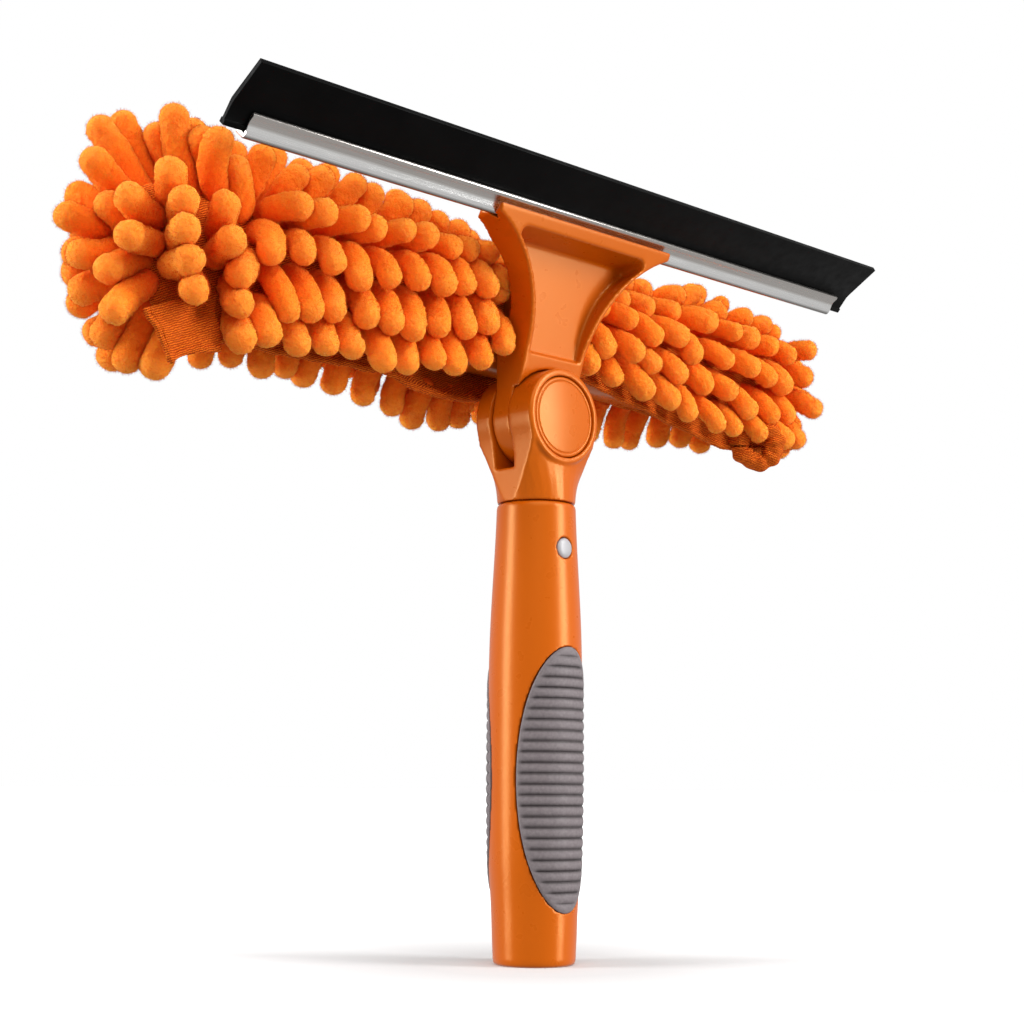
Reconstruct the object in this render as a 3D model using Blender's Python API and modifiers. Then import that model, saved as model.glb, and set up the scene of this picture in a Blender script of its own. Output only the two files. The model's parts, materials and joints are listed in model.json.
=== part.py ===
"""Two-in-one window cleaner: a rubber squeegee and a pile scrubber on one locking head.

Metres, +Z up. The origin is the middle of the handle's flat bottom. The handle stands along
+Z, the blade runs along X, and -Y is the front, the side with the round lock button.
"""
import math

import bmesh
import bpy
from mathutils import Matrix, Vector

MM = 0.001
GAP = 0.3 * MM

# Handle
HANDLE_TOP = 157.2 * MM
HANDLE_BORE_R = 11.3 * MM
HANDLE_RADII = [(1, 14.0), (8, 14.4), (17, 14.7), (24, 15.1), (30, 15.7), (44, 16.1), (62, 16.3),
                (80, 16.3), (98, 16.2), (112, 15.9), (125, 15.3), (138, 14.6), (148, 14.1), (156.4, 13.8)]
PLUG_HEIGHT = 9.0 * MM

# Grip pads, two ellipses let into the front and the back of the handle
GRIP_MID_Z = 62.2 * MM
GRIP_HALF_HEIGHT = 44.6 * MM
GRIP_HALF_ANGLE = math.radians(68.0)
GRIP_PROUD = 0.5 * MM
GRIP_SUNK = 1.8 * MM

# Neck and fork
NECK_BOTTOM = 157.5 * MM
NECK_R = 13.7 * MM
NECK_HALF_WIDTH = 13.5 * MM
STEM_R = 11.0 * MM
STEM_BORE_R = 8.5 * MM
STEM_BOTTOM = 118.0 * MM
PIVOT_Z = 187.0 * MM
EAR_R = 17.0 * MM
EAR_FRONT = -14.1 * MM
EAR_BACK = 13.8 * MM
SLOT_FRONT = -3.0 * MM
SLOT_BACK = 6.3 * MM
SLOT_FLOOR = 169.0 * MM

# Lock: a sprung button whose toothed hub keys the tongue to the front ear
BUTTON_R = 14.2 * MM
BUTTON_FACE = -13.7 * MM
BUTTON_THICK = 2.3 * MM
BUTTON_BOSS_R = 5.0 * MM
WEB_FRONT = -7.7 * MM
WEB_BACK = -6.3 * MM
HUB_FRONT = -6.0 * MM
HUB_BACK = 0.0 * MM
HUB_TIP_R = 10.4 * MM
HUB_ROOT_R = 9.0 * MM
HUB_TEETH = 12
TONGUE_POCKET_R = 10.9 * MM
TONGUE_POCKET_BACK = 3.6 * MM
PIN_SHOULDER_R = 4.0 * MM
PIN_TIP_R = 2.4 * MM
PIN_HEAD_R = 6.2 * MM
PIN_HEAD_FRONT = 9.9 * MM
PIN_END = -5.8 * MM
CAP_R = 9.0 * MM
CAP_FRONT = 12.3 * MM
WEB_HOLE_R = 8.0 * MM
SPLINE_DEPTH = 4.3 * MM
LOCK_SPRING_START = -3.1 * MM
LOCK_SPRING_END = 3.3 * MM

# Yoke, the flared arm between the pivot and the blade
TONGUE_R = 16.2 * MM
TONGUE_FRONT = -2.7 * MM
TONGUE_BACK = 6.0 * MM
SHOULDER_R = 17.6 * MM
YOKE_WAIST = 14.5 * MM
YOKE_WAIST_TOP = 208.0 * MM
YOKE_TOP_HALF = 42.85 * MM
YOKE_FLARE_R = 44.3 * MM
YOKE_TOP = 259.0 * MM
RAIL = 2.2 * MM
PANEL_BOTTOM = 208.8 * MM
PANEL_TOP = 247.3 * MM

# Blade: a leaning aluminium channel that holds the rubber
CHANNEL_FOOT = (-21.0 * MM, 248.7 * MM)
CHANNEL_LEAN = math.radians(41.7)
CHANNEL_HEIGHT = 8.7 * MM
CHANNEL_DEPTH = 5.5 * MM
CHANNEL_LENGTH = 290.0 * MM
RUBBER_LENGTH = 305.0 * MM
RUBBER_HALF_THICK = 0.95 * MM
RUBBER_EDGE = (-39.4 * MM, 265.9 * MM)

# Scrubber bar and its sleeve
BAR_FRONT = 7.0 * MM
BAR_BACK = 27.0 * MM
BAR_BOTTOM = 205.8 * MM
BAR_TOP = 239.0 * MM
BAR_WALL = 2.4 * MM
BAR_LENGTH = 304.0 * MM
BOSS_HALF = 10.5 * MM
BOSS_BOTTOM = 209.0 * MM
BOSS_TOP = 230.0 * MM
SLEEVE_LENGTH = 366.0 * MM
SLEEVE_POCKET_LENGTH = 312.0 * MM

# Snap button that holds the neck in the handle
SNAP_Z = 140.9 * MM
SNAP_R = 3.5 * MM
SNAP_FACE = -14.5 * MM
SNAP_FLANGE_R = 4.3 * MM
SNAP_FLANGE_BACK = -5.6 * MM
SNAP_SPRING_END = 7.4 * MM

# Screws
SCREW_R = 1.4 * MM
SCREW_HEAD_R = 2.7 * MM
SCREW_HEAD = 1.5 * MM
BAR_SCREW_X = 6.0 * MM
BAR_SCREW_Z = 219.0 * MM
CHANNEL_SCREW_X = 26.0 * MM

ALONG_Y = (math.radians(90), 0.0, 0.0)
TURNED_ON_Y = (math.radians(-90), 0.0, 0.0)
ALONG_X = (math.radians(90), 0.0, math.radians(90))

for old in list(bpy.data.objects):
    bpy.data.objects.remove(old, do_unlink=True)

PARTS = bpy.data.collections.new("window_squeegee")
CUTTERS = bpy.data.collections.new("cutters")
bpy.context.scene.collection.children.link(PARTS)
bpy.context.scene.collection.children.link(CUTTERS)


# ---------------------------------------------------------------- materials

def plastic(name, colour, roughness, metallic=0.0):
    made = bpy.data.materials.new(name)
    made.use_nodes = True
    shader = made.node_tree.nodes["Principled BSDF"]
    shader.inputs["Base Color"].default_value = (*colour, 1.0)
    shader.inputs["Roughness"].default_value = roughness
    shader.inputs["Metallic"].default_value = metallic
    return made


ORANGE = (0.83, 0.21, 0.02)
STEEL = (0.55, 0.56, 0.58)


# ---------------------------------------------------------------- building blocks

def mesh_object(name, bm, collection=CUTTERS):
    mesh = bpy.data.meshes.new(name)
    bm.to_mesh(mesh)
    bm.free()
    made = bpy.data.objects.new(name, mesh)
    collection.objects.link(made)
    if collection is CUTTERS:
        made.hide_render = True
        made.display_type = "WIRE"
    return made


def box(name, low, high):
    low = Vector(low)
    high = Vector(high)
    bm = bmesh.new()
    bmesh.ops.create_cube(bm, size=1.0, matrix=Matrix.Diagonal((*(high - low), 1.0)))
    made = mesh_object(name, bm)
    made.location = (low + high) / 2
    return made


def rod(name, radius, start, end, segments=48):
    """A cylinder along Y, from y = start to y = end, about the pivot axis."""
    bm = bmesh.new()
    bmesh.ops.create_cone(bm, cap_ends=True, segments=segments, radius1=radius,
                          radius2=radius, depth=end - start)
    made = mesh_object(name, bm)
    made.rotation_euler = TURNED_ON_Y
    made.location = (0.0, (start + end) / 2, PIVOT_Z)
    return made


def turned(name, profile, closed=False, steps=48):
    """A turned shape about local Z; the (radius, height) profile runs down its outer side."""
    bm = bmesh.new()
    points = [bm.verts.new((radius, 0.0, height)) for radius, height in profile]
    for first, second in zip(points, points[1:]):
        bm.edges.new((first, second))
    if closed:
        bm.edges.new((points[-1], points[0]))
    made = mesh_object(name, bm)
    screw = made.modifiers.new("turn", "SCREW")
    screw.steps = steps
    screw.render_steps = steps
    screw.use_merge_vertices = True
    screw.merge_threshold = 0.00001
    return made


def outline(name, loops, length, rotation, location=(0.0, 0.0, 0.0)):
    """A flat outline, with any holes, thickened by length along its local Z, as a mesh."""
    curve = bpy.data.curves.new(name, "CURVE")
    curve.dimensions = "2D"
    curve.fill_mode = "BOTH"
    curve.extrude = length / 2
    for loop in loops:
        spline = curve.splines.new("POLY")
        spline.points.add(len(loop) - 1)
        for point, (across, up) in zip(spline.points, loop):
            point.co = (across, up, 0.0, 1.0)
        spline.use_cyclic_u = True
    drawn = bpy.data.objects.new(name + "_drawn", curve)
    CUTTERS.objects.link(drawn)
    graph = bpy.context.evaluated_depsgraph_get()
    mesh = bpy.data.meshes.new_from_object(drawn.evaluated_get(graph))
    bpy.data.objects.remove(drawn)
    bm = bmesh.new()
    bm.from_mesh(mesh)
    bmesh.ops.remove_doubles(bm, verts=bm.verts, dist=0.000001)
    bmesh.ops.dissolve_limit(bm, angle_limit=math.radians(0.5), verts=bm.verts, edges=bm.edges)
    bmesh.ops.recalc_face_normals(bm, faces=bm.faces)
    made = mesh_object(name, bm)
    made.rotation_euler = rotation
    made.location = location
    return made


def loft(name, rings):
    """A closed solid through rings of points with the same count, ends capped."""
    bm = bmesh.new()
    rows = [[bm.verts.new(point) for point in ring] for ring in rings]
    count = len(rings[0])
    for lower, upper in zip(rows, rows[1:]):
        for i in range(count):
            j = (i + 1) % count
            bm.faces.new((lower[i], lower[j], upper[j], upper[i]))
    bm.faces.new(rows[0])
    bm.faces.new(rows[-1])
    bmesh.ops.recalc_face_normals(bm, faces=bm.faces)
    return mesh_object(name, bm)


def combine(target, tool, operation="DIFFERENCE", solver="EXACT"):
    step = target.modifiers.new(operation.lower(), "BOOLEAN")
    step.operation = operation
    step.object = tool
    step.solver = solver


def part(made, name, colour, roughness, metallic=0.0, smooth=35.0):
    """Move a finished shape to the parts, name it and give it its material."""
    made.name = name
    made.data.name = name
    for collection in list(made.users_collection):
        collection.objects.unlink(made)
    PARTS.objects.link(made)
    made.hide_render = False
    made.display_type = "TEXTURED"
    made.data.materials.clear()
    made.data.materials.append(plastic(name, colour, roughness, metallic))
    if made.type == "MESH":
        made.data.shade_smooth()
        made.data.set_sharp_from_angle(angle=math.radians(smooth))
    return made


def arc(centre, radius, start, end, steps):
    """Points on a circle from one angle to another, in degrees, both ends included."""
    points = []
    for i in range(steps + 1):
        angle = math.radians(start + (end - start) * i / steps)
        points.append((centre[0] + radius * math.cos(angle), centre[1] + radius * math.sin(angle)))
    return points


def bezier(p0, p1, p2, p3, steps):
    points = []
    for i in range(steps + 1):
        t = i / steps
        s = 1 - t
        weights = (s ** 3, 3 * s * s * t, 3 * s * t * t, t ** 3)
        points.append(tuple(sum(w * p[k] for w, p in zip(weights, (p0, p1, p2, p3))) for k in (0, 1)))
    return points


def mirrored(points):
    """The same run of points on the other side of the axis, in the order that closes a loop."""
    return points + [(-across, up) for across, up in reversed(points)]


def helix(name, axis_start, length, radius, wire, turns):
    """A coil spring along +Y with closed end turns."""
    per_turn = 14
    total = int(turns * per_turn)
    curve = bpy.data.curves.new(name, "CURVE")
    curve.dimensions = "3D"
    curve.bevel_depth = wire / 2
    curve.bevel_resolution = 2
    curve.use_fill_caps = True
    spline = curve.splines.new("POLY")
    spline.points.add(total)
    for i, point in enumerate(spline.points):
        angle = 2 * math.pi * i / per_turn
        along = wire / 2 + (length - wire) * i / total
        point.co = (radius * math.cos(angle), along, radius * math.sin(angle), 1.0)
    made = bpy.data.objects.new(name, curve)
    CUTTERS.objects.link(made)
    made.location = axis_start
    return made


def screw_shape(name, shank):
    """A pan-head screw along local Z: head above z = 0, shank below, cross recess in the head."""
    dome = [(0.0, SCREW_HEAD), (SCREW_HEAD_R * 0.55, SCREW_HEAD), (SCREW_HEAD_R * 0.9, SCREW_HEAD * 0.65),
            (SCREW_HEAD_R, SCREW_HEAD * 0.2), (SCREW_HEAD_R, 0.0), (SCREW_R, 0.0),
            (SCREW_R, -shank + 0.4 * MM), (SCREW_R - 0.4 * MM, -shank), (0.0, -shank)]
    made = turned(name, dome, steps=16)
    for turn in (0.0, 90.0):
        bar = box(name + "_recess", (-1.5 * MM, -0.3 * MM, -0.4 * MM), (1.5 * MM, 0.3 * MM, 1.4 * MM))
        bar.location = (0.0, 0.0, SCREW_HEAD)
        bar.rotation_euler = (0.0, 0.0, math.radians(turn))
        bar.parent = made
        combine(made, bar)
    return made


# ---------------------------------------------------------------- handle

def handle_radius(z):
    """Outer radius of the handle at height z, smooth through the design radii."""
    rows = [(height * MM, radius * MM) for height, radius in HANDLE_RADII]
    z = min(max(z, rows[0][0]), rows[-1][0])
    index = max(i for i in range(len(rows) - 1) if rows[i][0] <= z)
    (z0, r0), (z1, r1) = rows[index], rows[index + 1]
    before = rows[max(index - 1, 0)]
    after = rows[min(index + 2, len(rows) - 1)]
    slope0 = (r1 - before[1]) / (z1 - before[0])
    slope1 = (after[1] - r0) / (after[0] - z0)
    t = (z - z0) / (z1 - z0)
    span = z1 - z0
    return ((2 * t ** 3 - 3 * t ** 2 + 1) * r0 + (t ** 3 - 2 * t ** 2 + t) * span * slope0
            + (3 * t ** 2 - 2 * t ** 3) * r1 + (t ** 3 - t ** 2) * span * slope1)


def grip_patch(name, side, grow, proud, sunk):
    """An elliptical patch of the handle's surface, from sunk below it to proud above it."""
    rings, sectors = 5, 32
    bm = bmesh.new()

    def point(share, angle):
        reach = GRIP_HALF_ANGLE + grow / handle_radius(GRIP_MID_Z)
        turn = side * math.pi / 2 + share * reach * math.cos(angle)
        height = GRIP_MID_Z + share * (GRIP_HALF_HEIGHT + grow) * math.sin(angle)
        radius = handle_radius(height) + proud
        return bm.verts.new((radius * math.cos(turn), radius * math.sin(turn), height))

    centre = point(0.0, 0.0)
    rows = []
    for ring in range(1, rings + 1):
        rows.append([point(ring / rings, 2 * math.pi * i / sectors) for i in range(sectors)])
    for i in range(sectors):
        j = (i + 1) % sectors
        bm.faces.new((centre, rows[0][i], rows[0][j]))
        for inner, outer in zip(rows, rows[1:]):
            bm.faces.new((inner[i], outer[i], outer[j], inner[j]))
    bmesh.ops.recalc_face_normals(bm, faces=bm.faces)
    faces = list(bm.faces)
    outward = Vector((0.0, side, 0.0))
    if faces[0].normal.dot(outward) < 0:
        bmesh.ops.reverse_faces(bm, faces=faces)
    made = mesh_object(name, bm)
    skin = made.modifiers.new("skin", "SOLIDIFY")
    skin.thickness = proud + sunk
    skin.offset = -1.0
    return made


def build_handle():
    outer = [(HANDLE_BORE_R, HANDLE_TOP), (12.9 * MM, HANDLE_TOP), (13.8 * MM, 156.4 * MM)]
    levels = 20
    for i in range(1, levels):
        z = 156.4 * MM - i * 155.4 * MM / levels
        outer.append((handle_radius(z), z))
    outer += [(14.0 * MM, 1.0 * MM), (13.7 * MM, 0.3 * MM), (13.0 * MM, 0.0), (HANDLE_BORE_R, 0.0)]
    shell = turned("handle_shell", outer, closed=True)
    for side, label in ((-1, "front"), (1, "back")):
        pad = grip_patch("grip_" + label, side, 0.0, GRIP_PROUD, GRIP_SUNK)
        pocket = grip_patch("pocket_" + label, side, GAP, 1.5 * MM, GRIP_SUNK + GAP)
        combine(shell, pocket)
        part(pad, "grip_" + label, (0.30, 0.27, 0.27), 0.75)
    hole = rod("snap_hole", SNAP_R + GAP, -20.0 * MM, 0.0, segments=24)
    hole.location.z = SNAP_Z
    combine(shell, hole)
    part(shell, "handle_shell", ORANGE, 0.38)
    plug_r = HANDLE_BORE_R - GAP
    plug = turned("end_plug", [(0.0, PLUG_HEIGHT), (plug_r - 0.8 * MM, PLUG_HEIGHT),
                               (plug_r, PLUG_HEIGHT - 0.8 * MM), (plug_r, 0.4 * MM),
                               (plug_r - 0.4 * MM, 0.0), (0.0, 0.0)])
    part(plug, "end_plug", ORANGE, 0.45)


# ---------------------------------------------------------------- neck, fork and snap button

def fork_outline():
    """Front silhouette of the neck and ears: the ear circle runs into concave flanks."""
    ear = [(x, z + PIVOT_Z) for x, z in arc((0.0, 0.0), EAR_R, 90.0, -20.0, 22)]
    flank = bezier(ear[-1], (14.6 * MM, 177.4 * MM), (13.6 * MM, 169.0 * MM),
                   (NECK_HALF_WIDTH, NECK_BOTTOM), 8)
    return mirrored(ear + flank[1:])


def neck_section(z):
    """Front and back of the neck at height z: round at the seam, flat where the ears start."""
    share = min(max((z - NECK_BOTTOM) / (178.0 * MM - NECK_BOTTOM), 0.0), 1.0)
    depth = NECK_R - 0.5 * MM * min(share * 2.0, 1.0) + 0.6 * MM * max(share * 2.0 - 1.0, 0.0)
    flat = (2.4 + 11.1 * share) * MM
    reach = 15.8 * MM
    width = (13.5 + 2.3 * share ** 1.5) * MM
    spread = width / math.sqrt(1.0 - (flat / depth) ** 2) if flat < depth * 0.985 else 6.0 * width
    front = []
    steps = 16
    for i in range(steps + 1):
        x = min(spread, reach + 4.0 * MM) * math.sin(math.pi * (i / steps - 0.5)) * 0.9999
        front.append((x, -depth * math.sqrt(max(1.0 - (x / spread) ** 2, 0.0004)), z))
    return front + [(x, -y, z) for x, y, z in reversed(front)]


def gear_outline(root, tip, teeth):
    points = []
    for i in range(teeth):
        for share, radius in ((-0.32, root), (-0.2, tip), (0.2, tip), (0.32, root)):
            angle = 2 * math.pi * (i + share) / teeth
            points.append((radius * math.cos(angle), radius * math.sin(angle)))
    return points


def build_fork():
    body = outline("fork_housing", [fork_outline()], 40.0 * MM, ALONG_Y)
    heights = [NECK_BOTTOM - 5 * MM] + [NECK_BOTTOM + i * 20.5 * MM / 8 for i in range(9)] + [206.0 * MM]
    combine(body, loft("neck_rounding", [neck_section(z) for z in heights]), "INTERSECT", "MANIFOLD")
    rim = EAR_R - 0.35 * MM
    depth = 4.0 * MM
    ring = turned("ear_face", [(0.0, depth), (rim, depth), (rim, 0.7 * MM),
                               (rim - 0.3 * MM, 0.2 * MM), (rim - 0.9 * MM, 0.0), (0.0, 0.0)])
    ring.rotation_euler = TURNED_ON_Y
    ring.location = (0.0, EAR_FRONT, PIVOT_Z)
    combine(body, ring, "UNION", "MANIFOLD")
    stem_top = NECK_BOTTOM + 3 * MM
    bevel = 1 * MM
    stem = turned("stem", [(0.0, stem_top), (STEM_R, stem_top), (STEM_R, STEM_BOTTOM + bevel),
                           (STEM_R - bevel, STEM_BOTTOM), (0.0, STEM_BOTTOM)])
    combine(body, stem, "UNION", "MANIFOLD")
    cuts = [box("slot", (-30 * MM, SLOT_FRONT, SLOT_FLOOR), (30 * MM, SLOT_BACK, 220 * MM))]
    cuts.append(rod("button_seat", BUTTON_R + GAP, -20 * MM, WEB_FRONT, 64))
    cuts.append(rod("boss_hole", WEB_HOLE_R, WEB_FRONT - 1 * MM, WEB_BACK + 1 * MM))
    teeth = gear_outline(HUB_ROOT_R + GAP, HUB_TIP_R + GAP, HUB_TEETH)
    cuts.append(outline("spline", [teeth], SPLINE_DEPTH, ALONG_Y,
                        (0.0, WEB_BACK + SPLINE_DEPTH / 2, PIVOT_Z)))
    cuts.append(rod("pin_hole", PIN_SHOULDER_R + GAP, 5 * MM, 20 * MM, 32))
    cuts.append(rod("pin_head_seat", PIN_HEAD_R + GAP, PIN_HEAD_FRONT - GAP, 20 * MM, 32))
    cuts.append(rod("cap_seat", CAP_R + GAP, CAP_FRONT - GAP, 20 * MM, 40))
    bore = [(0.0, 150 * MM), (STEM_BORE_R, 150 * MM), (STEM_BORE_R, 110 * MM), (0.0, 110 * MM)]
    cuts.append(turned("stem_bore", bore))
    snap = rod("snap_bore", SNAP_R + GAP, -20 * MM, 0.0, 24)
    snap.location.z = SNAP_Z
    cuts.append(snap)
    for cutter in cuts:
        combine(body, cutter, "DIFFERENCE", "MANIFOLD")
    part(body, "fork_housing", ORANGE, 0.36)


def build_snap():
    """A white push button whose inner flange stays behind the stem's wall, and its spring."""
    flange_front = SNAP_FLANGE_BACK - 1.2 * MM
    crown = 0.6 * MM
    profile = [(0.0, SNAP_FLANGE_BACK), (SNAP_FLANGE_R, SNAP_FLANGE_BACK), (SNAP_FLANGE_R, flange_front),
               (SNAP_R, flange_front), (SNAP_R, SNAP_FACE + crown),
               (SNAP_R - crown, SNAP_FACE + crown / 4), (1.5 * MM, SNAP_FACE), (0.0, SNAP_FACE)]
    button = turned("snap_button", profile, steps=24)
    button.rotation_euler = TURNED_ON_Y
    button.location = (0.0, 0.0, SNAP_Z)
    part(button, "snap_button", (0.80, 0.79, 0.77), 0.35)
    start = SNAP_FLANGE_BACK + 0.4 * MM
    spring = helix("snap_spring", (0.0, start, SNAP_Z), SNAP_SPRING_END - start, 2.9 * MM, 0.7 * MM, 6)
    part(spring, "snap_spring", STEEL, 0.3, 1.0)
    return [button]


# ---------------------------------------------------------------- pivot and lock

def build_lock():
    """The round button with its boss, the toothed hub on the boss, and the spring behind."""
    back = BUTTON_FACE + BUTTON_THICK
    groove = BUTTON_R - 1.5 * MM
    bore = PIN_TIP_R + GAP
    boss_back = -3.3 * MM
    profile = [(0.0, -9.5 * MM), (bore, -9.5 * MM), (bore, boss_back), (BUTTON_BOSS_R, boss_back),
               (BUTTON_BOSS_R, back), (BUTTON_R, back), (BUTTON_R, BUTTON_FACE + 0.5 * MM),
               (BUTTON_R - 0.5 * MM, BUTTON_FACE), (groove + 0.3 * MM, BUTTON_FACE),
               (groove, BUTTON_FACE + 0.35 * MM), (groove - 0.3 * MM, BUTTON_FACE), (0.0, BUTTON_FACE)]
    button = turned("lock_button", profile, steps=64)
    button.rotation_euler = TURNED_ON_Y
    button.location = (0.0, 0.0, PIVOT_Z)
    part(button, "lock_button", ORANGE, 0.36)
    middle = (HUB_FRONT + HUB_BACK) / 2
    hub = outline("lock_hub", [gear_outline(HUB_ROOT_R, HUB_TIP_R, HUB_TEETH)], HUB_BACK - HUB_FRONT,
                  ALONG_Y, (0.0, middle, PIVOT_Z))
    combine(hub, rod("hub_bore", BUTTON_BOSS_R + GAP, -10 * MM, 5 * MM, 32))
    combine(hub, rod("hub_spring_seat", 7.4 * MM, LOCK_SPRING_START - GAP, 5 * MM, 32))
    part(hub, "lock_hub", (0.75, 0.74, 0.70), 0.5)
    spring = helix("lock_spring", (0.0, LOCK_SPRING_START, PIVOT_Z), LOCK_SPRING_END - LOCK_SPRING_START,
                   6.35 * MM, 0.8 * MM, 3)
    part(spring, "lock_spring", STEEL, 0.3, 1.0)
    return [button, hub]


def build_pin():
    head_back = PIN_HEAD_FRONT + 1.8 * MM
    shoulder = TONGUE_POCKET_BACK + GAP
    bevel = 0.4 * MM
    profile = [(0.0, head_back), (PIN_HEAD_R, head_back), (PIN_HEAD_R, PIN_HEAD_FRONT),
               (PIN_SHOULDER_R, PIN_HEAD_FRONT), (PIN_SHOULDER_R, shoulder), (PIN_TIP_R, shoulder),
               (PIN_TIP_R, PIN_END + bevel), (PIN_TIP_R - bevel, PIN_END), (0.0, PIN_END)]
    pin = turned("pivot_pin", profile, steps=32)
    pin.rotation_euler = TURNED_ON_Y
    pin.location = (0.0, 0.0, PIVOT_Z)
    part(pin, "pivot_pin", STEEL, 0.3, 1.0)
    cap = turned("pivot_cap", [(0.0, EAR_BACK), (CAP_R - 0.8 * MM, EAR_BACK), (CAP_R, EAR_BACK - 0.5 * MM),
                               (CAP_R, CAP_FRONT), (0.0, CAP_FRONT)], steps=40)
    cap.rotation_euler = TURNED_ON_Y
    cap.location = (0.0, 0.0, PIVOT_Z)
    part(cap, "pivot_cap", ORANGE, 0.36)


# ---------------------------------------------------------------- yoke

def yoke_half_width(z):
    """Half width of the yoke: straight at the waist, then a concave arc up to the blade."""
    rise = min(max(z - YOKE_WAIST_TOP, 0.0), YOKE_FLARE_R)
    reach = YOKE_WAIST + YOKE_FLARE_R - math.sqrt(YOKE_FLARE_R ** 2 - rise ** 2)
    return min(reach, YOKE_TOP_HALF)


def yoke_outline():
    tongue = [(x, z + PIVOT_Z) for x, z in arc((0.0, 0.0), TONGUE_R, -90.0, 0.0, 18)]
    waist = [(YOKE_WAIST, 197.0 * MM), (YOKE_WAIST, YOKE_WAIST_TOP)]
    flare_end = YOKE_WAIST_TOP + math.sqrt(YOKE_FLARE_R ** 2
                                           - (YOKE_FLARE_R - YOKE_TOP_HALF + YOKE_WAIST) ** 2)
    steps = 12
    flare = []
    for i in range(1, steps + 1):
        z = YOKE_WAIST_TOP + (flare_end - YOKE_WAIST_TOP) * math.sin(math.pi / 2 * i / steps)
        flare.append((yoke_half_width(z), z))
    return mirrored(tongue + waist + flare + [(YOKE_TOP_HALF, YOKE_TOP)])


def yoke_front(z):
    """y of the yoke's front face: upright at the waist, leaning forward above it."""
    if z < 211.0 * MM:
        return -9.8 * MM + (211.0 * MM - max(z, 197.0 * MM)) * 0.3
    return -9.8 * MM - (z - 211.0 * MM) * 0.405


def blade_point(up, out):
    """A (y, z) point in the channel's own section: up its lean, and out towards the front."""
    y = CHANNEL_FOOT[0] - up * math.sin(CHANNEL_LEAN) - out * math.cos(CHANNEL_LEAN)
    z = CHANNEL_FOOT[1] + up * math.cos(CHANNEL_LEAN) - out * math.sin(CHANNEL_LEAN)
    return (y, z)


def yoke_side():
    """Side section of the yoke, with the jaw that grips the channel at its top."""
    front = [(yoke_front(z * MM), z * MM) for z in (165.0, 197.0, 211.0, 251.0)]
    jaw = [(-26.3 * MM, 252.1 * MM), blade_point(5.0 * MM, GAP), blade_point(-GAP, GAP),
           blade_point(-GAP, -CHANNEL_DEPTH - GAP), blade_point(5.0 * MM, -CHANNEL_DEPTH - GAP),
           blade_point(5.0 * MM, -8.0 * MM)]
    back = [(-14.5 * MM, 251.0 * MM), (-10.5 * MM, 244.5 * MM), (-9.1 * MM, 236.5 * MM),
            (-5.2 * MM, 226.5 * MM), (0.4 * MM, 217.5 * MM), (TONGUE_BACK, 209.0 * MM),
            (TONGUE_BACK, 165.0 * MM)]
    return front + jaw + back


def panel_cutter():
    """The sunk panel in the yoke's front: shallow at the waist and deep under the blade."""
    corner = 3.0 * MM
    side = []
    steps = 9
    for i in range(steps + 1):
        z = PANEL_BOTTOM + (PANEL_TOP - corner - PANEL_BOTTOM) * i / steps
        side.append((yoke_half_width(z) - RAIL, z))
    side[-1] = (side[-1][0] - 0.4 * MM, side[-1][1])
    edge = side[-1]
    side.append((edge[0] - 0.2 * MM, edge[1] + 1.6 * MM))
    side.append((edge[0] - 1.4 * MM, edge[1] + 2.7 * MM))
    side.append((edge[0] - 3.2 * MM, edge[1] + corner))
    loop = mirrored(side)
    rings = []
    for reach in (-20.0 * MM, 0.0):
        rings.append([(x, yoke_front(z) + reach, z) for x, z in loop])
    back = []
    for x, z in loop:
        share = (z - PANEL_BOTTOM) / (PANEL_TOP - PANEL_BOTTOM)
        back.append((x * 0.985, -6.9 * MM - 6.0 * MM * share, PANEL_BOTTOM + 0.5 * MM + 36.3 * MM * share))
    return loft("panel", rings + [back])


def build_yoke():
    body = outline("yoke", [yoke_outline()], 60.0 * MM, ALONG_Y)
    side = outline("yoke_section", [yoke_side()], 120.0 * MM, ALONG_X)
    combine(body, side, "INTERSECT")
    combine(body, rod("shoulder", SHOULDER_R, -40 * MM, TONGUE_FRONT, 64))
    combine(body, panel_cutter())
    boss = box("bar_boss", (-BOSS_HALF, -6.6 * MM, BOSS_BOTTOM), (BOSS_HALF, BAR_FRONT - GAP, BOSS_TOP))
    combine(body, boss, "UNION")
    combine(body, rod("hub_pocket", TONGUE_POCKET_R, -10 * MM, TONGUE_POCKET_BACK))
    combine(body, rod("tongue_bore", PIN_SHOULDER_R + GAP, 0.0, 10 * MM, 32))
    for x in (-BAR_SCREW_X, BAR_SCREW_X):
        pilot = rod("bar_pilot", SCREW_R + GAP, -1.5 * MM, 12 * MM, 16)
        pilot.location.x = x
        pilot.location.z = BAR_SCREW_Z
        combine(body, pilot)
    for x in (-CHANNEL_SCREW_X, CHANNEL_SCREW_X):
        combine(body, channel_screw_hole(x))
    part(body, "yoke", ORANGE, 0.36)
    return [body]


def channel_screw_frame(x, out):
    """Where a channel screw sits: on the jaw's back wall, pointing at the channel."""
    y, z = blade_point(2.4 * MM, out)
    return (x, y, z), (math.pi / 2 - CHANNEL_LEAN - math.radians(90), 0.0, 0.0)


def channel_screw_hole(x):
    bm = bmesh.new()
    bmesh.ops.create_cone(bm, cap_ends=True, segments=16, radius1=SCREW_R + GAP,
                          radius2=SCREW_R + GAP, depth=5.0 * MM)
    hole = mesh_object("channel_pilot", bm)
    hole.location, hole.rotation_euler = channel_screw_frame(x, -7.5 * MM)
    return hole


# ---------------------------------------------------------------- blade

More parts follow.
